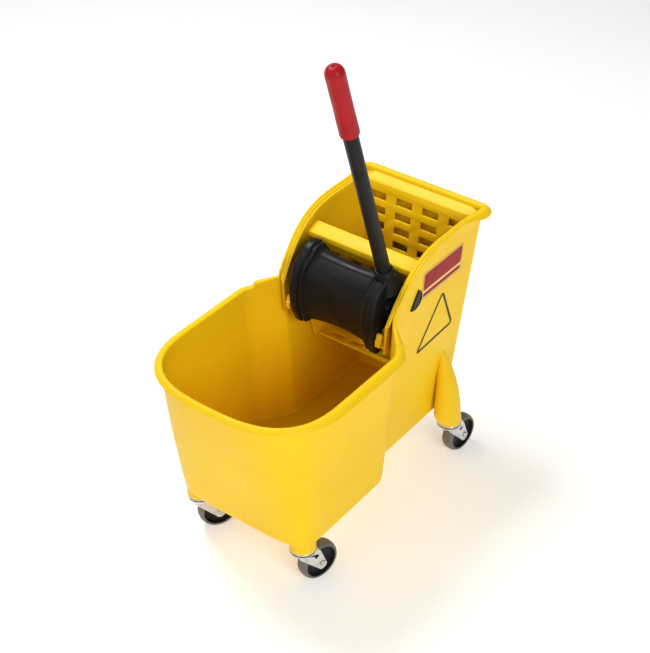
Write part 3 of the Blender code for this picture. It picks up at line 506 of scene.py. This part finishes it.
def fillet(before, corner, after, radius, steps):
    """Points on the arc that rounds a corner between two straight lines."""
    a, b = (Vector(before) - Vector(corner)).normalized(), (Vector(after) - Vector(corner)).normalized()
    half = a.angle(b) / 2
    centre = Vector(corner) + (a + b).normalized() * radius / math.sin(half)
    first = Vector(corner) + a * radius / math.tan(half) - centre
    last = Vector(corner) + b * radius / math.tan(half) - centre
    sweep = first.angle_signed(last)
    points = []
    for k in range(steps + 1):
        spoke = first.copy()
        spoke.rotate(Matrix.Rotation(-sweep * k / steps, 2))
        points.append(tuple(centre + spoke))
    return points


def half_outline(t):
    """The right half of the plan outline, from the middle of the front to the middle of the back."""
    half, front = lerp(TANK_HALF_WIDTH, t), lerp(TANK_FRONT_Y, t)
    rear_half, back = lerp(HOUSING_HALF_WIDTH, t), lerp(HOUSING_BACK_Y, t)
    exponent = 2 / lerp(TANK_CORNER_POWER, min(max(t, 0.0), 1.0))
    points = []
    steps = 44
    for k in range(steps + 1):
        angle = math.pi / 2 * k / steps
        x = half * math.sin(angle) ** exponent
        y = TANK_CORNER_Y + (front - TANK_CORNER_Y) * max(math.cos(angle), 0.0) ** exponent
        points.append((x, y))
    start, end = (half, lerp(SHOULDER_START_Y, t)), (rear_half, lerp(SHOULDER_END_Y, t))
    first = fillet((half, TANK_CORNER_Y), start, end, lerp(SHOULDER_START_RADIUS, t), 12)
    for k in range(1, 9):
        points.append((half, lerp((TANK_CORNER_Y, first[0][1]), k / 9)))
    points += first + fillet(start, end, (rear_half, back), lerp(SHOULDER_END_RADIUS, t), 8)
    side_start, side_end = points[-1][1], back - HOUSING_CORNER_RADIUS
    for k in range(1, 36):
        points.append((rear_half, lerp((side_start, side_end), k / 36)))
    points += fillet((rear_half, TANK_CORNER_Y), (rear_half, back), (0, back), HOUSING_CORNER_RADIUS, 8)
    for k in range(1, 9):
        points.append((lerp((rear_half - HOUSING_CORNER_RADIUS, 0.0), k / 9), back))
    points.append((0.0, back))
    return points


def rim_height(y):
    """The rim's top: level round the tank, then an S up to the top of the housing."""
    u = min(max((y - RIM_RISE_START_Y) / RIM_RISE_LENGTH, 0.0), 1.0)
    eased = u * u / (u + RIM_RISE_EASE)
    return RIM_Z + (HOUSING_Z - RIM_Z) * (1 - (1 - eased) ** 3)


def ease(value, start, end):
    """Goes smoothly from 0 to 1 between two values."""
    u = np.clip((value - start) / (end - start), 0.0, 1.0)
    return u * u * (3 - 2 * u)


class Shell:
    """The bucket's plan outline at every height, as tables of points and outward normals."""

    def __init__(self):
        self.levels = np.linspace(-0.12, 1.5, 55)
        tables = []
        for t in self.levels:
            half = half_outline(t)
            tables.append(half + [(-x, y) for x, y in reversed(half[1:-1])])
        self.points = np.array(tables)
        along = np.roll(self.points, -1, axis=1) - np.roll(self.points, 1, axis=1)
        normals = np.stack([along[:, :, 1], -along[:, :, 0]], axis=2)
        self.normals = normals / np.linalg.norm(normals, axis=2, keepdims=True)
        at_rim = self.at(np.ones(self.points.shape[1]), 0.0)
        self.rim = np.array([rim_height(y) for y in at_rim[:, 1]])
        kernel = np.array([1, 2, 3, 2, 1]) / 9.0
        padded = np.concatenate([self.rim[-2:], self.rim, self.rim[:2]])
        self.rim = np.convolve(padded, kernel, mode="valid")
        wide = 1 - ease(at_rim[:, 1], *RIM_NARROWS_Y) + ease(at_rim[:, 1], *RIM_WIDENS_Y)
        width = RIM_WIDTH_SIDE + (RIM_WIDTH - RIM_WIDTH_SIDE) * wide
        width -= (RIM_WIDTH - RIM_WIDTH_FRONT) * (1 - ease(at_rim[:, 1], *RIM_FRONT_Y))
        self.width = width / RIM_WIDTH

    def at(self, t, offset):
        """Plan points at a level for each column, pushed out along the normals."""
        place_in_table = (t - self.levels[0]) / (self.levels[1] - self.levels[0])
        low = np.clip(np.floor(place_in_table).astype(int), 0, len(self.levels) - 2)
        part = (place_in_table - low)[:, None]
        index = np.arange(self.points.shape[1])
        point = self.points[low, index] * (1 - part) + self.points[low + 1, index] * part
        normal = self.normals[low, index] * (1 - part) + self.normals[low + 1, index] * part
        return point + normal * np.reshape(offset, (-1, 1))

    def depth(self):
        """Where the rim is narrow it is shallow too."""
        return 0.42 + 0.58 * self.width

    def ring(self, z, offset):
        """A closed ring of points at a height, the same all round or given for each column."""
        z = np.broadcast_to(np.asarray(z, float), self.rim.shape)
        xy = self.at(level(z), offset)
        return [Vector((x, y, h)) for (x, y), h in zip(xy, z)]


RIM_PROFILE = (  # distance outside the wall, distance below the rim's top
    (0.0000, 0.0130), (0.0012, 0.0100), (0.0050, 0.0082), (0.0110, 0.0074), (0.0132, 0.0086),
    (0.0138, 0.0120), (0.0146, 0.0130), (0.0158, 0.0130), (0.0165, 0.0122), (0.0165, 0.0100),
    (0.0158, 0.0084), (0.0138, 0.0064), (0.0112, 0.0040), (0.0088, 0.0018), (0.0066, 0.0006),
    (0.0040, 0.0001), (0.0012, 0.0000), (-0.0010, 0.0004), (-0.0024, 0.0014), (-0.0033, 0.0032),
    (-0.0035, 0.0060),
)


def floor_curve(radius, height, outward):
    """Offsets and heights round the bottom of the tank, from the floor up to the wall."""
    steps = 6
    curve = []
    for k in range(steps + 1):
        angle = math.pi / 2 * k / steps
        curve.append((outward - radius * (1 - math.sin(angle)), height + radius * (1 - math.cos(angle))))
    return curve


def bucket_shell(shell):
    """The tank and housing as one skin: up the outside, over the rim and down the inside."""
    rings = []
    for offset, z in floor_curve(FLOOR_RADIUS, FLOOR_Z, 0.0):
        rings.append(shell.ring(z, offset))
    low, high = FLOOR_Z + FLOOR_RADIUS, shell.rim - RIM_PROFILE[0][1] * shell.depth()
    for k in range(1, 26):
        rings.append(shell.ring(low + (high - low) * k / 26, 0.0))
    for offset, drop in RIM_PROFILE:
        share = shell.width if offset > 0 else 1.0
        depth = shell.depth() if offset > RIM_BEAD_WIDTH or drop > RIM_BEAD_DEPTH else 1.0
        rings.append(shell.ring(shell.rim - drop * depth, offset * share))
    floor_in = FLOOR_Z + FLOOR_THICKNESS
    top, bottom = shell.rim - RIM_PROFILE[-1][1], floor_in + FLOOR_RADIUS
    for k in range(1, 26):
        rings.append(shell.ring(top + (bottom - top) * k / 26, -WALL))
    for offset, z in reversed(floor_curve(FLOOR_RADIUS, floor_in, -WALL)):
        rings.append(shell.ring(z, offset))
    return loft("bucket_shell", rings, YELLOW, smooth=40)


def stem_axis(corner):
    """The point a caster swivels about."""
    return Vector(JOINTS[f"swivel_turn_{corner}"]["pos_m"])


def front_post(stem):
    """Sections of the upright post over a front caster: height, x, y, radius and spread."""
    sections = []
    for k in range(9):
        rise = k / 8
        pull = 1 - 0.022 * rise
        radius = BOSS_RADIUS * (1 - 0.25 * rise * rise)
        sections.append((BOSS_BOTTOM_Z + BOSS_HEIGHT * rise, stem.x * pull, stem.y * pull, radius, 0.0))
    return sections


def rear_leg(stem):
    """Sections of the leg over a rear caster, which leans into the housing's side."""
    side = math.copysign(1, stem.x)
    inner_x = housing_half_width(LEG_TOP_Z) - LEG_TIP_INSET
    sections = []
    for k in range(25):
        rise = k / 24
        bend = 1 - rise**2.3
        z = BOSS_BOTTOM_Z + (LEG_TOP_Z - BOSS_BOTTOM_Z) * rise
        centre_x = inner_x + (abs(stem.x) - inner_x) * bend
        radius = LEG_TIP_RADIUS + (BOSS_RADIUS - LEG_TIP_RADIUS) * (1 - rise**1.9) ** 0.80
        spread = LEG_SPREAD * float(ease(z, BOSS_BOTTOM_Z, LEG_SPREAD_Z)) * (1 - rise**1.5)
        sections.append((z, side * centre_x, stem.y - 0.004 * rise, radius, spread))
    return sections


def boss(corner, shell):
    """The post a caster plugs into, cut off at the tank's inside."""
    stem = stem_axis(corner)
    sections = front_post(stem) if stem.y < 0 else rear_leg(stem)
    first = sections[0]
    sections = [(*first[:3], first[3] - 0.0012, 0.0), (first[0] + 0.0012, *first[1:])] + sections[1:]
    step = 360 / BOSS_SIDES
    rings = []
    for z, cx, cy, radius, spread in sections:
        stretch = 1 + spread / 2 / radius
        circle = arc((0, 0), radius, 0, 360 - step, BOSS_SIDES - 1)
        rings.append([Vector((cx + x, cy - spread / 2 + y * stretch, z)) for x, y in circle])
    post = loft("boss", rings, YELLOW)
    inside = loft("inside", [shell.ring(FLOOR_Z + 0.002, -WALL / 2), shell.ring(0.30, -WALL / 2)], YELLOW)
    return combine(post, inside, "DIFFERENCE")


def bucket():
    """The moulded body with its four bosses, stem holes and pin holes."""
    shell = Shell()
    body = bucket_shell(shell)
    for corner in CORNERS:
        combine(body, boss(corner, shell), smooth=40)
    for corner in CORNERS:
        stem = stem_axis(corner)
        drilled(body, STEM_HOLE_RADIUS, STEM_HOLE_Z, (stem.x, stem.y, 0), (0, 0, 1), 32, 40)
    for side in (-1, 1):
        inner_end = (side * 0.100, PIVOT.y, PIVOT.z)
        drilled(body, PIN_HOLE_RADIUS, (0, 0.040), inner_end, (side, 0, 0), 48, 40)
    place(body, "bucket", "yellow_plastic", "bucket_body")


# ---------------------------------------------------------------- rotor and lever
def fan_outline(shrink):
    """The end plate's edge about the pivot, drawn in as shrink grows."""
    points = arc((0, 0), 0.0185, -30, 50, 8)
    points += arc((-0.022, 0.020), 0.033 - shrink, 62, 140, 14)
    points += arc((0.034, -0.030), 0.1195 - shrink, 150, 207, 24)
    corner = [(-0.0690 + shrink, -0.0925), (-0.0650 + shrink, -0.0955 + shrink * 0.5)]
    foot = [(-0.0200, -0.0815 + shrink * 0.5), (0.0020, -0.0500 + shrink * 0.5), (0.0120, -0.0220)]
    return points + soft_corners([points[-1]] + corner + foot[:2], 0.0045, 5, closed=False)[1:] + foot[2:]


def fan_front(shrink, low):
    """The curved front of the same edge, down to an angle."""
    top = arc((-0.022, 0.020), 0.033 - shrink, 62, 140, 14)
    return top + arc((0.034, -0.030), 0.1195 - shrink, 150, low, 26)


FLANGE_PROFILE = (  # distance from the middle, how far the edge is drawn in
    (0.0900, 0.0060), (0.0899, 0.0042), (0.0893, 0.0024), (0.0882, 0.0011), (0.0868, 0.0003),
    (0.0852, 0.0000), (0.0765, 0.0000), (0.0752, 0.0004), (0.0745, 0.0013), (0.0742, 0.0026),
    (0.0738, 0.0040), (0.0730, 0.0044), (0.0716, 0.0044), (0.0708, 0.0040), (0.0700, 0.0032),
    (0.0690, 0.0028), (0.0676, 0.0028), (0.0664, 0.0031), (0.0656, 0.0038), (0.0650, 0.0050),
    (0.0645, 0.0072), (0.0625, 0.0104),
)


def flange(side):
    """One stepped end plate of the rotor."""
    rings = []
    for reach, shrink in FLANGE_PROFILE:
        rings.append([Vector((side * reach, PIVOT.y + y, PIVOT.z + z)) for y, z in fan_outline(shrink)])
    return loft("flange", rings, BLACK, smooth=45)


def barrel():
    """The waisted shell between the end plates, with a raised band at either end."""
    reach, shell, stations = 0.0665, 0.0045, 49
    rings = []
    for k in range(stations):
        across = -1 + 2 * k / (stations - 1)
        waist = 1 - across * across
        edge = (abs(across) - 0.885) / 0.012
        band = 0.0014 * min(max(edge, 0.0), 1.0)
        recess = 0.0112 + 0.0062 * waist - band
        low = 213.5 - 1.5 * waist
        outer, inner = fan_front(recess, low), fan_front(recess + shell, low)[::-1]
        rings.append([Vector((across * reach, PIVOT.y + y, PIVOT.z + z)) for y, z in outer + inner])
    return loft("barrel", rings, BLACK, smooth=45)


def lever_axis():
    """The direction of the lever at rest."""
    return Vector((0, -math.sin(LEVER_LEAN), math.cos(LEVER_LEAN)))


def rotor():
    """The black rotor: end plates, barrel and the socket for the lever."""
    body = flange(1)
    combine(body, barrel(), smooth=45)
    combine(body, flange(-1), smooth=45)
    profile = [(0.0300, -0.030), (0.0240, -0.0160), (0.0205, -0.0095), (0.0186, -0.0050), (0.0180, -0.0010)]
    profile += [(0.0180, 0.0032), (0.0166, 0.0046), (0.0050, 0.0046)]
    socket = turned("socket", profile, LEVER_BASE, lever_axis(), BLACK, 72, radius=0.0010)
    combine(body, socket, smooth=45)
    drilled(body, TUBE_RADIUS + 0.0003, (-0.026, 0.03), LEVER_BASE, lever_axis(), 72, 45)
    for side in (-1, 1):
        inner_end = (side * 0.069, PIVOT.y, PIVOT.z)
        drilled(body, ROTOR_BORE_RADIUS, (0, 0.04), inner_end, (side, 0, 0), 48, 45)
    body.name = "rotor_finished"
    place(body, "rotor_and_lever", "black_plastic", "rotor")


def lever():
    """The tube, the collar round its foot and the dipped grip."""
    axis = lever_axis()
    inner, low, high = TUBE_RADIUS - TUBE_WALL, -0.0257, LEVER_LENGTH - 0.010
    profile = [(inner, low), (TUBE_RADIUS, low), (TUBE_RADIUS, high), (inner, high)]
    tube = turned("lever_tube_finished", profile, LEVER_BASE, axis, TUBE, 64, ring=True)
    place(tube, "rotor_and_lever", "black_tube", "lever_tube")
    bore = TUBE_RADIUS + 0.0002
    profile = [(bore, 0.0048), (0.0172, 0.0048), (0.0174, 0.0080), (0.0160, 0.0092), (0.0156, 0.0122)]
    profile += [(0.0148, 0.0140), (bore, 0.0142)]
    collar = turned("lever_collar_finished", profile, LEVER_BASE, axis, BLACK, 64, ring=True)
    place(collar, "rotor_and_lever", "black_plastic", "lever_collar")
    bottom, top, waist = LEVER_LENGTH - GRIP_LENGTH, LEVER_LENGTH, GRIP_RADIUS - 0.0004
    profile = [(bore, bottom), (GRIP_RADIUS - 0.0016, bottom), (GRIP_RADIUS - 0.0002, bottom + 0.0014)]
    profile += [(GRIP_RADIUS, bottom + 0.0040), (waist, bottom + 0.060), (waist, top - 0.0170)]
    for k in range(1, 12):
        angle = math.pi / 2 * k / 12
        profile.append((waist * math.cos(angle) ** 0.8, top - 0.0165 + 0.0165 * math.sin(angle)))
    profile += [(0.0026, top - 0.0001), (0.0022, top - 0.0008), (0.0022, top - 0.0060), (bore, top - 0.0095)]
    grip = turned("lever_grip_finished", profile, LEVER_BASE, axis, RED, 64, ring=True, radius=0.0004)
    place(grip, "rotor_and_lever", "red_grip", "lever_grip")


CAP_PROFILE = (  # height above the wall, distance inside the edge
    (0.0003, 0.0), (0.0022, 0.0), (0.0029, 0.0003), (0.0033, 0.0011), (0.0034, 0.0022), (0.0026, 0.0032),
    (0.0024, 0.0060),
)


def pin_cap(side):
    """The half-disc that covers a pin's end on the outside of the wall."""
    frame_at = wall_frame(PIVOT.y - CAP_FORWARD, PIVOT.z, side)
    middle = math.radians(CAP_CUT_ANGLE - 90)
    rings = []
    for height, inset in CAP_PROFILE:
        half_disc = arc((0, 0), CAP_RADIUS - inset, CAP_CUT_ANGLE - 180, CAP_CUT_ANGLE, 40)
        shift = Vector((math.cos(middle), math.sin(middle))) * inset
        outline = soft_corners([Vector(p) + shift for p in half_disc], 0.0012, 2)
        rings.append([frame_at @ Vector((x, y, height)) for x, y in outline])
    return loft("cap", rings, BLACK)


def pins():
    """The two shouldered pivot pins and the bushes that turn on them."""
    wall = housing_half_width(PIVOT.z)
    shoulder = wall - 0.0043
    for side, name in ((-1, "left"), (1, "right")):
        axis = (side, 0, 0)
        profile = [(0.0084, PIN_INNER_X), (PIN_RADIUS, PIN_INNER_X + 0.0006), (PIN_RADIUS, shoulder)]
        profile += [(PIN_NECK_RADIUS, shoulder), (PIN_NECK_RADIUS, wall + 0.0012)]
        pin = turned(f"pivot_pin_{name}_finished", profile, PIVOT, axis, BLACK, 64, radius=0)
        combine(pin, pin_cap(side), smooth=40)
        place(pin, "bucket", "black_plastic", f"pivot_pin_{name}")
        bore, outside = BUSH_RADIUS
        profile = [(bore, BUSH_X[0]), (outside, BUSH_X[0]), (outside, BUSH_X[1]), (bore, BUSH_X[1])]
        bush = turned(f"pivot_bush_{name}_finished", profile, PIVOT, axis, BUSH, 48, ring=True, radius=0.0004)
        place(bush, "rotor_and_lever", "bush_plastic", f"pivot_bush_{name}")


def return_spring():
    """A close-wound coil round the left pin."""
    per_turn, sides = 32, 10
    sideways = Vector((1, 0, 0))
    turn = [2 * math.pi * s / sides for s in range(sides)]
    rings = []
    for k in range(int(SPRING_TURNS * per_turn) + 1):
        angle = 2 * math.pi * k / per_turn
        outward = Vector((0, math.cos(angle), math.sin(angle)))
        x = SPRING_START_X - SPRING_PITCH * k / per_turn
        centre = Vector((x, PIVOT.y, PIVOT.z)) + outward * SPRING_RADIUS
        spokes = [outward * math.cos(a) + sideways * math.sin(a) for a in turn]
        rings.append([centre + spoke * SPRING_WIRE_RADIUS for spoke in spokes])
    coil = loft("return_spring_finished", rings, SPRING, smooth=60)
    place(coil, "bucket", "spring_steel", "return_spring")


# ---------------------------------------------------------------- labels
def wall_frame(y, z, side=1):
    """A placement on the outside of the housing's side, its x towards the back and its y up the wall."""
    slope = (HOUSING_HALF_WIDTH[1] - HOUSING_HALF_WIDTH[0]) / (RIM_Z - FLOOR_Z)
    up, back = Vector((side * slope, 0, 1)).normalized(), Vector((0, 1, 0))
    origin = Vector((side * housing_half_width(z), y, z))
    return Matrix.Translation(origin) @ Matrix((back, up, back.cross(up) * side)).transposed().to_4x4()


def film(name, outline, base, thickness, frame_at, mat):
    """A thin flat layer that starts a little above the wall."""
    return extruded(name, outline, base, base + thickness, frame_at, mat)


def outline_frame(name, outline, inset, frame_at, base, thickness, mat):
    """A flat band that follows an outline, inset wide."""
    centre = sum((Vector(p) for p in outline), Vector((0, 0))) / len(outline)
    inner = []
    for k, point in enumerate(outline):
        along = Vector(outline[(k + 1) % len(outline)]) - Vector(outline[k - 1])
        normal = Vector((-along.y, along.x)).normalized()
        if normal.dot(centre - Vector(point)) < 0:
            normal = -normal
        inner.append(tuple(Vector(point) + normal * inset))
    rings = []
    top = base + thickness
    for ring, height in ((outline, base), (outline, top), (inner, top), (inner, base)):
        rings.append([frame_at @ Vector((x, y, height)) for x, y in ring])
    return loft(name, rings, mat, closed_along=True, smooth=20)


def labels():
    """A plain red panel with a pale border and a strip, and a triangle outline below it."""
    frame_at = wall_frame(*LABEL_AT)
    plate = soft_corners([(-0.063, -0.0300), (0.062, -0.0300), (0.064, 0.0285), (-0.063, 0.0285)], 0.006, 6)
    plate = film("side_label_border", plate, 0.0002, 0.0004, frame_at, LABEL_CREAM)
    place(plate, "bucket", "label_red", "side_label")
    line = [(-0.0618, -0.0288), (0.0608, -0.0288), (0.0628, 0.0273), (-0.0618, 0.0273)]
    line = soft_corners(line, 0.0055, 6)
    line = outline_frame("side_label_line", line, 0.0008, frame_at, 0.0006, 0.0002, LABEL_RED)
    place(line, "bucket", "label_red")
    panel = [(-0.0592, -0.0110), (0.0585, -0.0110), (0.0602, 0.0247), (-0.0592, 0.0247)]
    strip = [(-0.0590, -0.0250), (0.0580, -0.0250), (0.0582, -0.0165), (-0.0590, -0.0165)]
    for name, outline, radius in (("side_label_panel", panel, 0.0048), ("side_label_strip", strip, 0.0034)):
        outline = soft_corners(outline, radius, 6)
        place(film(name, outline, 0.0006, 0.0002, frame_at, LABEL_RED), "bucket", "label_red")
    frame_at = wall_frame(*TRIANGLE_AT)
    triangle = soft_corners([(-0.067, -0.0405), (0.0535, -0.0345), (0.0080, 0.0640)], 0.014, 8)
    band = outline_frame("side_triangle_band", triangle, 0.0046, frame_at, 0.0003, 0.0004, LABEL_BLACK)
    place(band, "bucket", "label_black", "side_triangle")


# ---------------------------------------------------------------- casters
def caster_mount(corner):
    """The stem with its top plate, and the race under it."""
    x, y = JOINTS[f"swivel_turn_{corner}"]["pos_m"][:2]
    base, up, top = (x, y, 0), (0, 0, 1), FORK_TOP_Z
    profile = [(0.0062, top - 0.0062), (0.0062, top - 0.0034), (0.0050, top - 0.0034), (0.0050, top + 0.0034)]
    profile += [(0.0185, top + 0.0034), (0.0222, top + 0.0024), (0.0228, top + 0.0036), (0.0222, 0.0849)]
    profile += [(0.0055, 0.0849), (0.0055, 0.1020)]
    stem = turned(f"caster_stem_{corner}_finished", profile, base, up, ZINC, 48)
    place(stem, "bucket", "zinc_plate", f"caster_stem_{corner}")
    profile = [(0.0054, top + 0.0003), (0.0180, top + 0.0003), (0.0196, top + 0.0012), (0.0190, top + 0.0028)]
    profile += [(0.0054, top + 0.0031)]
    race = turned(f"caster_race_{corner}_finished", profile, base, up, STEEL, 48, ring=True)
    place(race, "bucket", "zinc_plate", f"caster_race_{corner}")


def caster_axle(corner, axle, axis):
    """A pin with a domed head at either end."""
    head, shank, reach = AXLE_HEAD_RADIUS, AXLE_RADIUS, AXLE_REACH
    half = [(shank, reach), (head, reach), (head, reach + 0.0008), (0.0046, reach + 0.0022)]
    half += [(0.0030, reach + 0.0024)]
    profile = [(r, -h) for r, h in reversed(half)] + half
    pin = turned(f"caster_axle_{corner}_finished", profile, axle, axis, STEEL, 32)
    place(pin, f"swivel_{corner}", "axle_steel", f"caster_axle_{corner}")


def caster_wheel(corner, axle, axis):
    """The dished hub and the tyre round it."""
    half, hub_half = TYRE_HALF_WIDTH, HUB_HALF_WIDTH
    side = [(0.0290, 0.0092), (0.0284, 0.0058), (0.0262, 0.0044), (0.0205, 0.0040), (0.0140, 0.0050)]
    side += [(0.0108, 0.0058), (0.0094, 0.0126), (0.0082, hub_half)]
    lip = [(HUB_RADIUS, half - 0.0004), (0.0296, half - 0.0004)]
    profile = [(0.0039, -hub_half)] + [(r, -h) for r, h in reversed(lip + side)]
    profile += lip + side + [(0.0039, hub_half)]
    hub = turned(f"caster_hub_{corner}_finished", profile, axle, axis, BLACK, 72, ring=True)
    place(hub, f"wheel_{corner}", "hub_plastic", f"caster_hub_{corner}")
    bore = HUB_RADIUS + 0.0002
    cover = [(bore, -half), (0.0322, -half - 0.0002), (0.0345, -half + 0.0003)]
    for k in range(9):
        across = math.sin(math.radians(-80 + 160 * k / 8)) / math.sin(math.radians(80))
        cover.append((WHEEL_RADIUS - 0.0034 * abs(across) ** 3.2, (half - 0.0003) * across))
    cover += [(0.0345, half - 0.0003), (0.0322, half + 0.0002), (bore, half)]
    name = f"caster_tyre_{corner}_finished"
    tyre = turned(name, cover, axle, axis, TYRE, 96, ring=True, radius=0.0003)
    place(tyre, f"wheel_{corner}", "grey_tyre", f"caster_tyre_{corner}")


def caster(corner):
    """One swivel caster: mount, fork, axle and wheel."""
    wheel = JOINTS[f"wheel_turn_{corner}"]
    axle, axis = Vector(wheel["pos_m"]), -Vector(wheel["axis"])
    caster_mount(corner)
    refined(f"caster_fork_{corner}", f"swivel_{corner}", "zinc_plate", ZINC, 0.0008)
    caster_axle(corner, axle, axis)
    caster_wheel(corner, axle, axis)


# ---------------------------------------------------------------- stage
def stage():
    """A white floor, an even surround and three soft lights."""
    size = FLOOR_HALF_SIZE
    verts = [(-size, -size, 0), (size, -size, 0), (size, size, 0), (-size, size, 0)]
    new_object("studio_floor", verts, [(0, 1, 2, 3)], floor_paper())
    world = bpy.data.worlds.new("studio")
    world.use_nodes = True
    background = world.node_tree.nodes["Background"]
    background.inputs["Color"].default_value = (1.0, 0.995, 0.985, 1.0)
    background.inputs["Strength"].default_value = WORLD_STRENGTH
    bpy.context.scene.world = world
    for name, place_at, size_x, size_y, power in LIGHTS:
        light = bpy.data.lights.new(name, "AREA")
        light.shape = "RECTANGLE"
        light.size, light.size_y, light.energy = size_x, size_y, power
        lamp = bpy.data.objects.new(name, light)
        lamp.location = place_at
        lamp.rotation_euler = (Vector((0, 0, 0.3)) - Vector(place_at)).to_track_quat("-Z", "Y").to_euler()
        bpy.context.scene.collection.objects.link(lamp)


def camera():
    """Looks down at the bucket from its front right."""
    azimuth, elevation = CAMERA_AZIMUTH, CAMERA_ELEVATION
    flat = math.cos(elevation)
    back = Vector((math.sin(azimuth) * flat, -math.cos(azimuth) * flat, math.sin(elevation)))
    right = Vector((math.cos(azimuth), math.sin(azimuth), 0))
    turn = Matrix((right, back.cross(right), back)).transposed().to_4x4()
    lens = bpy.data.cameras.new("camera")
    lens.sensor_width = CAMERA_SENSOR_MM
    lens.lens = CAMERA_LENS_MM
    lens.clip_end = 50.0
    view = bpy.data.objects.new("camera", lens)
    view.matrix_world = Matrix.Translation(CAMERA_AIM + back * CAMERA_DISTANCE) @ turn
    bpy.context.scene.collection.objects.link(view)
    bpy.context.scene.camera = view
    bpy.context.scene.view_settings.view_transform = "Standard"


CHEEK_SECTION = (  # distance inside the housing's outer face, distance below the rim's top
    (0.0038, 0.0030), (0.0060, 0.0020), (0.0085, 0.0040), (0.0112, 0.0092), (0.0116, 0.0120),
    (0.0104, 0.0140), (0.0080, 0.0120), (0.0058, 0.0075), (0.0038, 0.0062),
)


def cheek(side, name):
    """The wringer's side liner; its top edge turns outwards over the gap and slopes down inwards."""
    node = f"wringer_cheek_{name}"
    stations = 64
    rings = []
    for k in range(stations + 1):
        y = 0.0275 + 0.2440 * k / stations
        ring = []
        for inwards, drop in CHEEK_SECTION:
            z = rim_height(y) - drop
            ring.append(Vector((side * (housing_half_width(z) - inwards), y, z)))
        rings.append(ring)
    edge = loft("cheek_flange", rings, YELLOW, smooth=50)
    liner = combine(cad_copy(node, YELLOW), edge, smooth=35)
    place(liner, "bucket", "yellow_plastic", node)


# ---------------------------------------------------------------- assembly
bucket()
rotor()
lever()
pins()
return_spring()
labels()
for corner in CORNERS:
    caster(corner)
for side in ("left", "right"):
    cheek(-1 if side == "left" else 1, side)
    refined(f"press_rack_{side}", "press", "yellow_plastic", YELLOW, 0.0004, 2)
    refined(f"drive_gear_{side}", "rotor_and_lever", "black_plastic", BLACK, 0.0004, 2)
refined("wringer_crossbar", "bucket", "yellow_plastic", YELLOW, 0.0010)
refined("back_grid", "bucket", "yellow_plastic", YELLOW, 0.0008)
refined("strainer_floor", "bucket", "yellow_plastic", YELLOW, 0.0008)
refined("press_plate", "press", "yellow_plastic", YELLOW, 0.0012)
stage()
camera()
